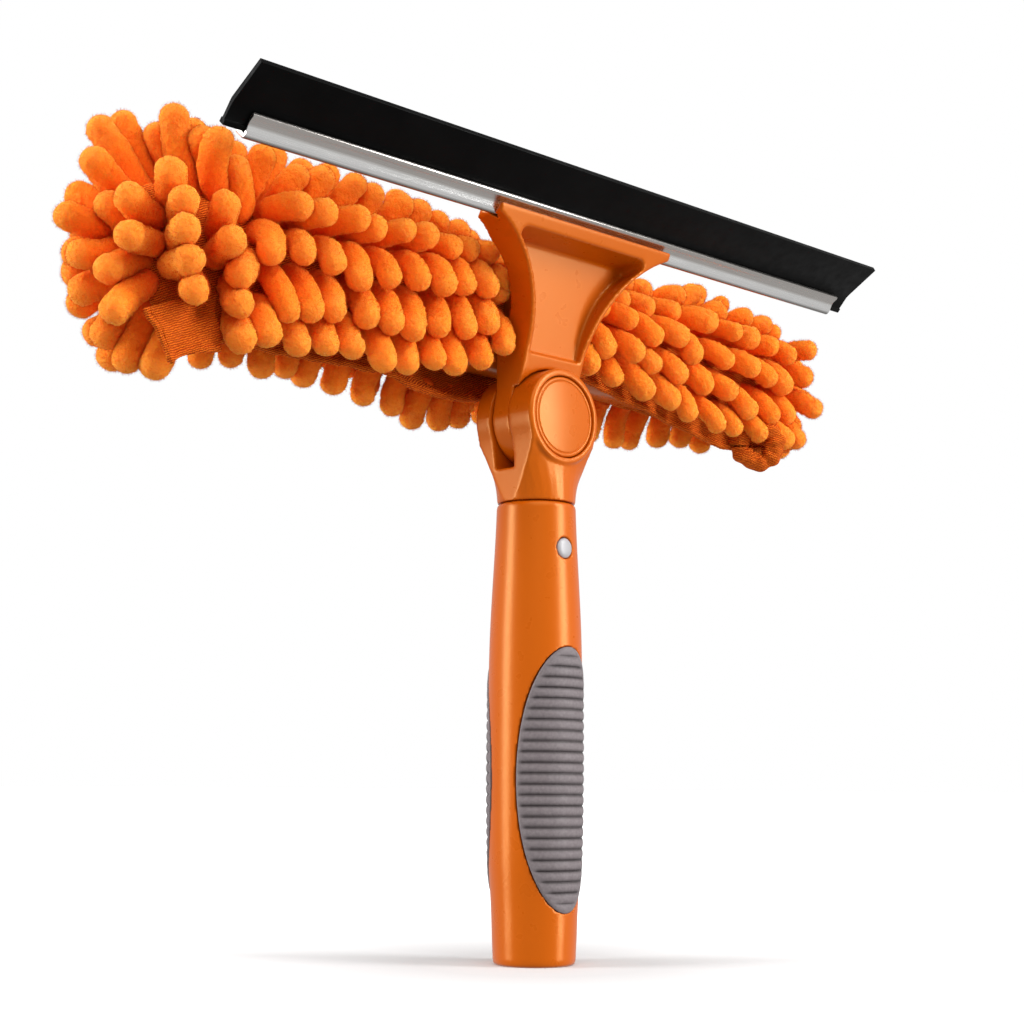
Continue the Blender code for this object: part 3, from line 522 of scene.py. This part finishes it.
def make_grip(label, side, curve, rubber):
    """A soft elliptical grip with a plain rim and ribs running round the handle."""
    low, high = (Vector(c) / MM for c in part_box("grip_" + label))
    middle, half_height = (low.z + high.z) / 2, (high.z - low.z) / 2
    half_turn = math.asin(high.x / max(abs(low.y), abs(high.y)))
    half_width = 15.0
    rows, columns = 330, 61
    pitch, rib, rim, plain = 3.6, 0.75, 1.3, 0.25
    proud, round_edge, tuck, depth = 0.55, 0.6, 1.1, 1.7
    points, grooves = [], []
    for i in range(rows):
        tilt = math.pi * ((i + 0.5) / rows - 0.5)
        z = middle + half_height * math.sin(tilt)
        reach = half_turn * math.cos(tilt)
        for j in range(columns):
            turn = reach * math.sin(math.pi / 2 * (2.0 * j / (columns - 1) - 1.0))
            share = math.hypot(math.sin(tilt), turn / half_turn)
            inside = (1.0 - share) * half_width
            wave = abs(math.cos(math.pi * (z - middle) / pitch)) ** 0.42
            ribbed = rib * (wave - 1.0) * min(max((inside - plain) / rim, 0.0), 1.0)
            fall = min(max(1.0 - inside / round_edge, 0.0), 1.0)
            shoulder = 0.5 - 0.5 * math.sqrt(max(1.0 - fall ** 2, 0.0))
            radius = curve(z) + proud + ribbed - tuck * shoulder
            angle = side * math.pi / 2 + turn
            points.append((radius * math.cos(angle), radius * math.sin(angle), z))
            grooves.append(-ribbed / rib)
    count = len(points)
    edge = [i * columns for i in range(rows)]
    edge += [i * columns + columns - 1 for i in reversed(range(rows))]
    skirt = []
    for n in edge:
        x, y, z = points[n]
        shrink = (curve(z) - depth) / math.hypot(x, y)
        skirt.append((x * shrink, y * shrink, z))
    faces = [tuple(f) for f in grid_faces(rows, columns)]
    ring = len(edge)
    for k in range(ring):
        n = (k + 1) % ring
        faces.append((edge[k], count + k, count + n, edge[n]))
    faces.append(tuple(range(columns)))
    faces.append(tuple(reversed(range(count - columns, count))))
    for k in range(rows - 1):
        faces.append((count + k, count + ring - 1 - k, count + ring - 2 - k, count + k + 1))
    pad = mesh_object("grip_pad_" + label, points + skirt, faces)
    # Each point's depth into a groove, which the rubber's material uses for painted shade.
    held = pad.data.attributes.new("groove", "FLOAT", "POINT")
    held.data.foreach_set("value", grooves + [0.0] * len(skirt))
    facing_out(pad)
    pad.data.set_sharp_from_angle(angle=math.radians(50))
    ready(pad, "handle", "grip_rubber", rubber, "grip_" + label)


def facing_out(obj):
    """Welds an object's mesh and turns its faces outwards."""
    bm = bmesh.new()
    bm.from_mesh(obj.data)
    bmesh.ops.remove_doubles(bm, verts=bm.verts, dist=1e-7)
    bmesh.ops.recalc_face_normals(bm, faces=bm.faces)
    bm.to_mesh(obj.data)
    bm.free()


# ---------------------------------------------------------------- scrubber: the lining's shape

# The heights of the lining's two free edges along X, in mm.
FRONT_HEM = ((-175, 199), (-150, 199), (-60, 202), (-45, 205), (-24, 212), (-13, 216), (13, 212),
             (25, 208), (49, 203.5), (63, 202), (84, 198.5), (96, 196), (110, 193.5), (125, 194),
             (150, 197), (175, 200))
REAR_HEM = ((-175, 200), (-87, 200.8), (-65, 201.5), (-53, 199.9), (-41, 196.6), (-28, 195),
            (-11, 196.5), (10, 203), (40, 209), (80, 208), (140, 204), (175, 204))
# The sleeve's ends, where its ends start to close, and the slot in its front for the yoke.
LEFT_END, RIGHT_END = -160.0, 157.0
END_START = 152.5
SLOT_HALF = 13.0
SLOT_TOP = 233.0
ROWS = 64


def pinch(x):
    """How full the lining's section is at x: 1 over the bar, closing to a rounded end."""
    end = RIGHT_END if x > 0 else -LEFT_END
    over = np.clip((abs(x) - END_START) / (end + 1.0 - END_START), 0.0, 1.0)
    return math.sqrt(1.0 - over ** 2)


def lining_path(x):
    """The lining's section at x, front hem to rear hem round the bar, and its length."""
    front, rear = float(steps(x, FRONT_HEM)), float(steps(x, REAR_HEM))
    curl = 7.0 * math.exp(-((x + 28.0) / 34.0) ** 2)
    skirt = 2.2 + 1.6 * math.sin(x * 0.055)
    knots = [(BAR_LOW.y - skirt, front), (BAR_LOW.y - 2.0, front + 7), (BAR_LOW.y - 1.7, 222),
             (BAR_LOW.y - 1.6, BAR_HIGH.z - 5), (BAR_LOW.y + 1.2, BAR_HIGH.z - 0.2),
             (BAR_LOW.y + 6, BAR_HIGH.z + 1.8), (BAR_HIGH.y - 6, BAR_HIGH.z + 1.8),
             (BAR_HIGH.y - 1.2, BAR_HIGH.z - 0.2), (BAR_HIGH.y + 1.7, BAR_HIGH.z - 5),
             (BAR_HIGH.y + 1.8, 220), (BAR_HIGH.y + 1.8, 208),
             (BAR_HIGH.y + 0.6 - curl * 0.4, rear + 5), (BAR_HIGH.y - 1.0 - curl, rear)]
    line, _ = evenly(np.array(knots), 4 * ROWS)
    line, length = evenly(relaxed(line, 14), ROWS)
    middle = np.array([BAR_Y, BAR_Z - 1.0])
    return middle + (line - middle) * pinch(x), length


def cloth_grid():
    """The lining as a grid of points, columns along X and rows along the section, with wrinkles."""
    xs = np.concatenate([np.linspace(LEFT_END, -END_START, 8),
                         np.arange(-END_START + 2.5, END_START - 2.0, 2.0),
                         np.linspace(END_START, RIGHT_END, 8)])
    grid = np.zeros((len(xs), ROWS, 3))
    for i, x in enumerate(xs):
        line, _ = lining_path(x)
        tangent = unit(np.gradient(line, axis=0))
        out = np.stack([-tangent[:, 1], tangent[:, 0]], 1)
        for j in range(ROWS):
            edge = min(j, ROWS - 1 - j) / ROWS
            loose = 1.5 * math.exp(-edge * 11.0)
            fold = noise.noise(Vector((x * 0.07, j * 0.03, 4.0))) * loose
            fold += 0.5 * noise.noise(Vector((x * 0.22, j * 0.12, 9.0))) * (0.4 + loose)
            grid[i, j] = (x, *(line[j] + out[j] * (fold + 0.2)))
    return xs, grid


# ---------------------------------------------------------------- scrubber: the pile

# A finger's chain of points, the room it takes up, its skin's radius, and the fibres on its nap.
LINKS = 7
FINGER_R = 4.75
SKIN_R = 4.35
NAP = 1700
LEFT_PITCH, RIGHT_PITCH = 11.3, 13.6
# Each row of fingers: its place along the lining's section at the left and the right, the length
# of its fingers there, the way they leave the lining, and the way they lie at the left and the right.
FINGER_ROWS = (
    (0.085, 0.135, 22.0, 20.0, (0, -1, -0.3), (-0.18, -0.20, -1), (0.42, -0.30, -0.80)),
    (0.205, 0.240, 25.0, 22.0, (0, -1, -0.3), (-0.22, -0.26, -1), (0.46, -0.38, -0.72)),
    (0.320, 0.335, 23.0, 22.0, (0, -1, 0.0), (-0.10, -0.45, -0.9), (0.50, -0.50, -0.62)),
    (0.380, 0.415, 21.0, 21.0, (0, -1, 0.3), (0.40, -0.90, -0.05), (0.62, -0.60, -0.35)),
    (0.440, 0.485, 21.0, 20.0, (0, -0.4, 0.9), (0.40, -0.55, 0.75), (0.80, -0.45, 0.10)),
    (0.530, 0.560, 26.0, 23.0, (0, 0, 1), (0.20, -0.02, 0.95), (0.75, 0.10, 0.45)),
    (0.610, 0.640, 31.0, 25.0, (0, 0.5, 0.8), (0.05, 0.16, 0.95), (0.50, 0.70, 0.35)),
    (0.700, 0.720, 24.0, 22.0, (0, 1, 0), (0.00, 0.75, -0.5), (0.30, 0.75, -0.50)),
    (0.800, 0.810, 24.0, 22.0, (0, 1, -0.2), (0.00, 0.45, -1), (0.15, 0.45, -1)),
    (0.900, 0.900, 19.0, 20.0, (0, 0.9, -0.6), (0.00, 0.20, -1), (0.10, 0.20, -1)))
# The fingers that splay from the left end, in mm: where each one starts, and the middle of its tip.
FLOWER = (
    ((-151, 21, 239), (-168, 25, 259)), ((-157, 14, 232), (-175, 12, 246)),
    ((-138, 14, 239), (-150, 10, 265)), ((-137, 20, 239), (-149, 22, 262)),
    ((-133, 12, 238), (-145, 6, 259)), ((-124, 10, 236), (-136, 2, 252)),
    ((-151, 6, 230), (-164, -9, 239)), ((-157, 6, 226), (-172, -4, 231)),
    ((-151, 6, 225), (-162, -15, 229)), ((-157, 18, 224), (-182, 18, 227)),
    ((-157, 14, 226), (-172, 10, 232)), ((-157, 16, 218), (-178, 16, 214)),
    ((-157, 6, 220), (-172, -6, 217)), ((-151, 6, 221), (-162, -16, 220)),
    ((-151, 6, 217), (-159, -16, 211)), ((-157, 20, 214), (-173, 22, 203)),
    ((-157, 10, 215), (-174, 4, 207)), ((-151, 20, 209), (-166, 22, 193)),
    ((-157, 8, 209), (-172, 0, 193)), ((-145, 6, 213), (-157, -14, 203)),
    ((-151, 18, 206), (-159, 18, 184)), ((-142, 14, 206), (-154, 12, 183)),
    ((-135, 6, 226), (-147, -14, 231)), ((-134, 6, 221), (-146, -16, 220)),
    ((-144, 24, 239), (-156, 30, 266)), ((-128, 6, 214), (-140, -12, 205)),
    ((-124, 6, 208), (-136, -9, 191)), ((-157, 24, 232), (-165, 37, 241)),
    ((-157, 25, 222), (-167, 37, 221)), ((-157, 24, 212), (-164, 36, 203)),
    ((-150, 27, 236), (-154, 42, 250)), ((-150, 27, 206), (-151, 40, 190)))


def finger_roots():
    """Root point, root direction, tip direction, length and thickness of each finger, in mm."""
    roots = []
    for row, spec in enumerate(FINGER_ROWS):
        left_at, right_at, left_size, right_size, root_way, left_way, right_way = spec
        columns = np.concatenate([np.arange(LEFT_END + 5.0, 5.0, LEFT_PITCH),
                                  np.arange(20.0, RIGHT_END - 7.0, RIGHT_PITCH)])
        for x in columns:
            x = x + (row % 2) * (2.5 if x < 0 else 4.5) + rng.uniform(-0.9, 0.9)
            lean = float(np.clip(x / 50.0, -0.5, 0.5)) + 0.5
            share = left_at * (1 - lean) + right_at * lean
            under_yoke = abs(x) < SLOT_HALF + 4.0 and share < 0.36
            over_flap = x < -130.0 and row < 4
            on_end = x < -139.0 and (row < 7 or x < -150.0)
            if under_yoke or over_flap or on_end:
                continue
            line, length = lining_path(x)
            spot = share + rng.uniform(-0.8, 0.8) / length
            at = [float(np.interp(spot, np.linspace(0, 1, ROWS), line[:, k])) for k in (0, 1)]
            size = left_size * (1 - lean) + right_size * lean + rng.uniform(-1.2, 1.2) * (1 + lean)
            start = np.array(root_way, float)
            way = np.array(left_way) * (1 - lean) + np.array(right_way) * lean
            splay = float(np.clip((-118.0 - x) / 28.0, 0.0, 1.0))
            if splay > 0.0:
                near = float(np.clip((x - LEFT_END - 5.0) / 12.0, 0.0, 1.0)) * (at[0] < 14.0)
                radial = np.array([-1.0 + 0.2 * near, 0.03 * (at[0] - BAR_Y) + 0.05 - 0.5 * near,
                                   (0.045 - 0.025 * near) * (at[1] - BAR_Z)])
                start = start + splay ** 2 * np.array([-1.0, 0, 0])
                way = way * (1 - splay) + splay * radial
                size += ((30.0 if at[1] > 235.0 else 27.0) - size) * splay
            curb = float(np.clip((x - 118.0) / 30.0, 0.0, 1.0))
            size -= curb * (7.0 if row > 3 else 2.5)
            way = way + rng.normal(0.0, 0.11 + 0.09 * lean, 3)
            thick = 1.0 + 0.14 * splay + lean * rng.uniform(-0.12, 0.06)
            roots.append((np.array([x, *at]), unit(start), unit(way), size, thick))
    return roots + flower_roots() + end_roots()


def flower_roots():
    """The fingers that splay from the left end."""
    made = []
    for root, tip in FLOWER:
        root, tip = np.array(root, float), np.array(tip, float)
        way = tip - root
        size = np.linalg.norm(way) + 2.0
        start = np.array([0.0, root[1] - BAR_Y, root[2] - BAR_Z])
        if root[0] < -155.0:
            start = np.array([-1.0, 0, 0])
        made.append((root, unit(unit(way) + 0.4 * unit(start)), unit(way), size, 1.06))
    return made


def end_roots():
    """Short fingers on the right end of the sleeve, which droop."""
    made = []
    for ring, count in ((0.0, 1), (0.5, 5), (0.95, 9)):
        for k in range(count):
            angle = 2 * math.pi * (k + 0.5 * ring) / count
            y, z = math.cos(angle) * ring, math.sin(angle) * ring
            root = np.array([RIGHT_END - 1.5 - 4.0 * ring ** 2, BAR_Y + 10.0 * y, BAR_Z + 17.0 * z])
            out = np.array([0.7, 0.9 * y + 0.5, 1.1 * z - 0.55]) + rng.normal(0, 0.1, 3)
            made.append((root, unit(np.array([1.0, 0.3 * y, 0.3 * z])), unit(out),
                         rng.uniform(13.0, 15.0), 1.0))
    return made


def rest_chain(root, root_way, tip_way, size):
    """A finger's own curve: it leaves the lining squarely and bends over to its tip direction."""
    points = [root]
    step = size / (LINKS - 1)
    for k in range(1, LINKS):
        share = min((k - 0.5) / (LINKS - 2.2), 1.0)
        points.append(points[-1] + unit(root_way * (1 - share) + tip_way * share) * step)
    return np.array(points)


def yoke_half_width(z):
    """Half width of the yoke at height z: a straight waist, then a concave flare."""
    waist, flare, start = 14.5, 44.3, 208.0
    rise = np.clip(z - start, 0.0, flare)
    return np.minimum(waist + flare - np.sqrt(flare ** 2 - rise ** 2), YOKE_REACH)


# The Y of the yoke's back face at each height, and the (Y, Z) ends of the blade's section, in mm.
YOKE_BACK = ((197, 6), (209, 6), (217.5, 0.4), (226.5, -5.2), (236.5, -9.1), (244.5, -10.5),
             (251, -14.5), (258, -20))
BLADE_FOOT, BLADE_TOP = np.array([-20.0, 250.5]), np.array([-39.0, 266.0])


def push_clear(p, r):
    """Moves points p, in mm, out of the hard parts that stand near the pile."""
    clear_yoke(p, r)
    clear_fork(p, r)
    clear_blade(p, r)
    clear_bar(p, r)


def clear_yoke(p, r):
    """Out to the yoke's side or its back, whichever is nearer."""
    x, y, z = p[..., 0], p[..., 1], p[..., 2]
    front = -9.8 - 0.405 * np.maximum(z - 211.0, 0.0)
    side = yoke_half_width(z) + r + 0.3 - np.abs(x)
    behind = steps(z, YOKE_BACK) + r + 0.3 - y
    inside = (side > 0) & (behind > 0) & (y > front - r - 0.5) & (z > 195.0)
    sideways = inside & (side <= behind)
    p[..., 0] += np.where(sideways, side * np.sign(x), 0.0)
    p[..., 1] += np.where(inside & ~sideways, behind, 0.0)


def clear_fork(p, r):
    """Up out of the cone that the fork sweeps when the head swings."""
    x, y, z = p[..., 0], p[..., 1], p[..., 2]
    floor = PIVOT_Z + 19.8 - 0.577 * np.abs(x) + r * 1.15
    low = (np.abs(x) < 42.0) & (np.abs(y) < 17.5 + r) & (z < floor)
    p[..., 2] += np.where(low, floor - z, 0.0)


def clear_blade(p, r):
    """Away from the channel and the rubber."""
    way = BLADE_TOP - BLADE_FOOT
    x, y, z = p[..., 0], p[..., 1], p[..., 2]
    t = np.clip(((y - BLADE_FOOT[0]) * way[0] + (z - BLADE_FOOT[1]) * way[1]) / (way @ way), 0.0, 1.0)
    dy, dz = y - (BLADE_FOOT[0] + t * way[0]), z - (BLADE_FOOT[1] + t * way[1])
    gap = np.hypot(dy, dz)
    reach = r + 4.6 - 2.6 * t
    near = (gap < reach) & (np.abs(x) < 155.0)
    grow = np.where(near, (reach - gap) / np.maximum(gap, 1e-6), 0.0)
    p[..., 1] += dy * grow
    p[..., 2] += dz * grow


def clear_bar(p, r):
    """Out of the bar, to the nearer face."""
    core = np.abs(p[..., 0]) < END_START + 2.0
    qy, qz = p[..., 1] - BAR_Y, p[..., 2] - BAR_Z
    over_y, over_z = 10.0 + 0.8 * r - np.abs(qy), 16.5 + 0.8 * r - np.abs(qz)
    hit = core & (over_y > 0) & (over_z > 0)
    p[..., 1] += np.where(hit & (over_y <= over_z), over_y * np.sign(qy), 0.0)
    p[..., 2] += np.where(hit & (over_z < over_y), over_z * np.sign(qz), 0.0)


def settle_pile(chains, sizes, rounds=110):
    """Lets the fingers lean on each other: position-based chains with stiffness and contact."""
    droop, hold, push_share, longest_move = 0.05, 0.16, 0.45, 1.2
    p, rest = chains.copy(), chains.copy()
    count = len(p)
    link = (sizes / (LINKS - 1))[:, None, None]
    owner = np.repeat(np.arange(count), LINKS)
    number = np.tile(np.arange(LINKS), count)
    free = (number > 0).astype(float)
    free[number == 1] = 0.5
    apart = 2 * FINGER_R * 0.93
    for _ in range(rounds):
        p[:, 2:, 2] -= droop
        p[:, 1:] += hold * (rest[:, 1:] - p[:, 1:])
        flat = p.reshape(-1, 3)
        order = np.argsort(flat[:, 0], kind="stable")
        q, who, give = flat[order], owner[order], free[order]
        move = np.zeros_like(q)
        reach = int(np.max(np.searchsorted(q[:, 0], q[:, 0] + apart) - np.arange(len(q))))
        for k in range(1, reach + 1):
            d = q[k:] - q[:-k]
            gap = np.sqrt((d * d).sum(1))
            both = give[k:] + give[:-k]
            touch = (gap < apart) & (who[k:] != who[:-k]) & (both > 0)
            if not touch.any():
                continue
            share = push_share * (apart - gap) / np.maximum(gap * both, 1e-6)
            push = np.where(touch, share, 0.0)[:, None] * d
            move[k:] += push * give[k:, None]
            move[:-k] -= push * give[:-k, None]
        long = np.linalg.norm(move, axis=1, keepdims=True)
        move *= np.minimum(1.0, longest_move / np.maximum(long, 1e-9))
        flat[order] = q + move
        p = flat.reshape(count, LINKS, 3)
        push_clear(p[:, 2:], FINGER_R)
        for _ in range(3):
            for k in range(1, LINKS):
                d = p[:, k] - p[:, k - 1]
                p[:, k] = p[:, k - 1] + unit(d) * link[:, 0]
    return p


def finger_mesh(chain, radius, seed, rings, sides):
    """Rings of points round one finger's smooth curve, with a round tip and a lumpy, napped skin.

    Gives the points and each ring's share of the finger's length.
    """
    knots = np.vstack([2 * chain[0] - chain[1], chain, 2 * chain[-1] - chain[-2]])
    total = np.linalg.norm(np.diff(chain, axis=0), axis=1).sum()
    tip = radius / total
    shares = np.concatenate([np.linspace(0.0, 1.0 - tip, rings - 8),
                             1.0 - tip + tip * np.sin(np.linspace(0.2, 1.53, 8))])
    u = shares * (LINKS - 1)
    k = np.minimum(u.astype(int), LINKS - 2)
    t = (u - k)[:, None]
    a, b, c, d = knots[k], knots[k + 1], knots[k + 2], knots[k + 3]
    line = 0.5 * (2 * b + (c - a) * t + (2 * a - 5 * b + 4 * c - d) * t ** 2
                  + (3 * b - a - 3 * c + d) * t ** 3)
    along = unit(np.gradient(line, axis=0))
    side = np.zeros_like(along)
    start = np.array([0.0, 0.0, 1.0]) if abs(along[0, 2]) < 0.8 else np.array([1.0, 0.0, 0.0])
    side[0] = unit(np.cross(along[0], start))
    for i in range(1, rings):
        side[i] = unit(side[i - 1] - along[i] * (side[i - 1] @ along[i]))
    across = np.cross(along, side)
    body = radius * (0.84 + 0.16 * np.clip(shares / 0.55, 0.0, 1.0) ** 0.8)
    cap = np.clip((shares - (1.0 - tip)) / tip, 0.0, 1.0)
    body = body * np.sqrt(np.maximum(1.0 - cap ** 2.2, 0.0))
    angle = np.linspace(0.0, 2 * math.pi, sides, endpoint=False) + seed % 7
    wave = np.random.default_rng(seed)
    lump = 1.0 + 0.035 * np.sin(2 * angle + wave.uniform(0, 6)) * wave.uniform(0.3, 1.0)
    lump = lump[None, :] + 0.03 * np.sin(3 * angle[None, :] + 7.0 * shares[:, None] + wave.uniform(0, 6))
    nap = 1.0 + 0.034 * wave.standard_normal((rings, sides))
    r = body[:, None] * lump * nap
    ring = side[:, None] * np.cos(angle)[None, :, None] + across[:, None] * np.sin(angle)[None, :, None]
    points = line[:, None] + ring * r[..., None]
    end = line[-1] + along[-1] * (total * (1.0 - shares[-1]) + 0.15)
    return np.vstack([points.reshape(-1, 3), end]), shares


def pile_piece(name, fingers):
    """One mesh of many fingers, which holds how far along its finger each point is."""
    rings, sides = ((27, 26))
    size = rings * sides + 1
    quads = grid_faces(rings, sides, closed=True)
    tip = np.array([((rings - 1) * sides + i, (rings - 1) * sides + (i + 1) % sides, rings * sides)
                    for i in range(sides)])
    base = np.arange(sides)[::-1]
    points, faces, reach, tint = [], [], [], []
    for n, (chain, radius, seed) in enumerate(fingers):
        co, shares = finger_mesh(chain, radius, seed, rings, sides)
        points.append(co)
        faces += [tuple(f) for f in quads + n * size]
        faces += [tuple(f) for f in tip + n * size]
        faces.append(tuple(base + n * size))
        reach.append(np.append(np.repeat(shares, sides), 1.0))
        tint.append(np.full(size, np.random.default_rng(seed + 5).uniform(-1.0, 1.0)))
    made = mesh_object(name, np.vstack(points), faces)
    for label, values in (("reach", reach), ("tint", tint)):
        held = made.data.attributes.new(label, "FLOAT", "POINT")
        held.data.foreach_set("value", np.concatenate(values).astype(np.float32))
    return made


def nap_hairs(piece, count):
    """Short fibres over the fingers, for the soft edge of chenille."""
    hairs = piece.modifiers.new("nap", "PARTICLE_SYSTEM").particle_system
    kind = hairs.settings
    kind.type = "HAIR"
    kind.count = count
    kind.hair_length = 0.6 * MM
    kind.hair_step = 2
    kind.render_step = 1
    kind.use_advanced_hair = True
    kind.brownian_factor = 0.0002
    kind.root_radius = 0.07
    kind.tip_radius = 0.03
    kind.radius_scale = 0.001
    kind.material = 1
    hairs.seed = 5


def make_pile():
    """All the fingers, settled against each other, in five pieces along the sleeve."""
    pile = pile_material()
    roots = finger_roots()
    sizes = np.array([r[3] for r in roots])
    chains = settle_pile(np.array([rest_chain(*r[:4]) for r in roots]), sizes)
    names = ("pile_left_end", "pile_left", "pile_middle", "pile_right", "pile_right_end")
    borders = (-138.0, -48.0, 48.0, 138.0)
    groups = {name: [] for name in names}
    for i, (chain, root) in enumerate(zip(chains, roots)):
        radius = SKIN_R * root[4] * rng.uniform(0.95, 1.06)
        groups[names[int(np.searchsorted(borders, chain[0, 0]))]].append((chain, radius, 100 + i))
    for name, fingers in groups.items():
        made = pile_piece(name, fingers)
        ready(made, "head", "pile_fabric", pile)
        nap_hairs(made, len(fingers) * NAP)


def make_lining():
    """The woven lining over the bar, open at the yoke's slot, with its cords, flap and loop."""
    woven = woven_material()
    xs, grid = cloth_grid()
    columns = len(xs)
    faces = []
    for i, j in [(i, j) for i in range(columns - 1) for j in range(ROWS - 1)]:
        centre = (grid[i, j] + grid[i + 1, j + 1]) / 2
        if abs(centre[0]) < SLOT_HALF and centre[1] < BAR_LOW.y + 2 and centre[2] < SLOT_TOP:
            continue
        faces.append((i * ROWS + j, (i + 1) * ROWS + j, (i + 1) * ROWS + j + 1, i * ROWS + j + 1))
    cloth = mesh_object("sleeve_lining", grid.reshape(-1, 3), faces)
    bm = bmesh.new()
    bm.from_mesh(cloth.data)
    bmesh.ops.delete(bm, geom=[v for v in bm.verts if not v.link_faces], context="VERTS")
    bm.to_mesh(cloth.data)
    bm.free()
    thicken(cloth, 0.9)
    ready(cloth, "head", "pile_fabric", woven, "scrubber_sleeve")
    front, rear = grid[np.abs(xs) <= 150.0, 0], grid[np.abs(xs) <= 150.0, -1]
    for name, line in (("hem_front_left", front[front[:, 0] < -SLOT_HALF - 2.0]),
                       ("hem_front_right", front[front[:, 0] > SLOT_HALF + 2.0]),
                       ("hem_rear", rear)):
        ready(cord(name, line, 1.25, 5.0), "head", "pile_fabric", woven)
    make_flap(woven)
    make_loop(woven)


def cord(name, line, radius, pitch):
    """A cord of twisted strands along a line of points, in mm."""
    strands, sides, spacing = 3, 15, 0.42
    length = np.linalg.norm(np.diff(line, axis=0), axis=1).sum()
    count = int(length / spacing) + 2
    along = np.linspace(0.0, length, count)
    path = relaxed(evenly(line, count)[0], 4)
    way = unit(np.gradient(path, axis=0))
    first = unit(np.cross(way, np.array([0.0, 0.0, 1.0]) + 0.3 * way[::-1]))
    second = np.cross(way, first)
    angle = np.linspace(0.0, 2 * math.pi, sides, endpoint=False)
    twist = 2 * math.pi * along[:, None] / pitch
    lobe = radius * (0.86 + 0.2 * np.abs(np.cos(strands * (angle[None, :] - twist) / 2)))
    lobe[[0, -1]] *= 0.3
    points = path[:, None] + lobe[..., None] * (first[:, None] * np.cos(angle)[None, :, None]
                                                + second[:, None] * np.sin(angle)[None, :, None])
    faces = [tuple(f) for f in grid_faces(len(path), sides, closed=True)]
    faces.append(tuple(range(sides))[::-1])
    faces.append(tuple((len(path) - 1) * sides + i for i in range(sides)))
    made = mesh_object(name, points.reshape(-1, 3), faces)
    facing_out(made)
    return made


def thicken(cloth, thickness):
    """Gives a sheet its thickness, in mm, and smooth shading."""
    solid = cloth.modifiers.new("thickness", "SOLIDIFY")
    solid.thickness = thickness * MM
    solid.offset = 0.0
    applied(cloth)
    cloth.data.shade_smooth()


def cloth_piece(name, grid, thickness):
    """A sheet from a grid of points, in mm."""
    made = mesh_object(name, grid.reshape(-1, 3), grid_faces(*grid.shape[:2]))
    thicken(made, thickness)
    return made


def make_flap(woven):
    """The lining's loose corner, which hangs out between the fingers near the left end."""
    top = np.array([(-166.0, -5.0, 196.5), (-136.0, 3.0, 209.0)])
    foot = np.array([(-159.0, -6.0, 181.5), (-139.0, -2.0, 189.0)])
    fold_way = np.array([0.55, -0.8, 0.1])
    rows, columns = 34, 44
    grid = np.zeros((rows, columns, 3))
    for i in range(rows):
        for j in range(columns):
            u, v = j / (columns - 1), i / (rows - 1)
            at = (top[0] * (1 - u) + top[1] * u) * (1 - v) + (foot[0] * (1 - u) + foot[1] * u) * v
            fold = 1.3 * math.sin(5.5 * u + 2.4 * v) * (0.3 + v)
            fold += 1.1 * noise.noise(Vector((u * 4.0, v * 4.0, 2.0)))
            at = at + fold_way * fold
            at[2] += 1.4 * math.sin(math.pi * u) * v
            grid[i, j] = at
    flap = cloth_piece("lining_flap", grid, 0.9)
    ready(flap, "head", "pile_fabric", woven)
    for name, line, radius, pitch in (
            ("flap_hem_bottom", grid[-1], 1.0, 4.2),
            ("flap_hem_side", grid[:, 0], 0.8, 3.0),
            ("flap_hem_inner", grid[:, 3] + np.array([-0.3, -0.35, 0.0]), 0.55, 2.4)):
        ready(cord(name, line, radius, pitch), "head", "pile_fabric", woven)


def make_loop(woven):
    """The lining's gathered end, curled into a small ring under the right end."""
    middle = np.array([122.5, -2.5, 194.5])
    facing = unit(np.array([-0.62, -0.75, -0.2]))
    side = unit(np.cross(facing, np.array([0.0, 0.0, 1.0])))
    rise = np.cross(side, facing)
    rows, columns = 72, 30
    grid = np.zeros((rows + 1, columns, 3))
    for i in range(rows + 1):
        turn = 2 * math.pi * i / rows * 0.985
        out = side * math.cos(turn) * 1.15 + rise * math.sin(turn)
        pull = 6.3 + 0.5 * math.sin(3 * turn + 1.0)
        thick = 3.1 + 0.3 * math.sin(7 * turn) + 0.25 * math.sin(11 * turn + 2.0)
        for j in range(columns):
            roll = -0.6 + 5.3 * j / (columns - 1) + 0.35 * math.sin(2 * turn)
            reach = thick * (1.0 + 0.07 * math.sin(5 * roll + 4 * turn))
            out_by, forward = pull + reach * math.cos(roll), reach * 1.1 * math.sin(roll)
            grid[i, j] = middle + out * out_by + facing * forward
    loop = cloth_piece("lining_loop", grid, 0.8)
    ready(loop, "head", "pile_fabric", woven)


make_camera()
make_floor()
make_light()
make_hard_parts()
make_lining()
make_pile()
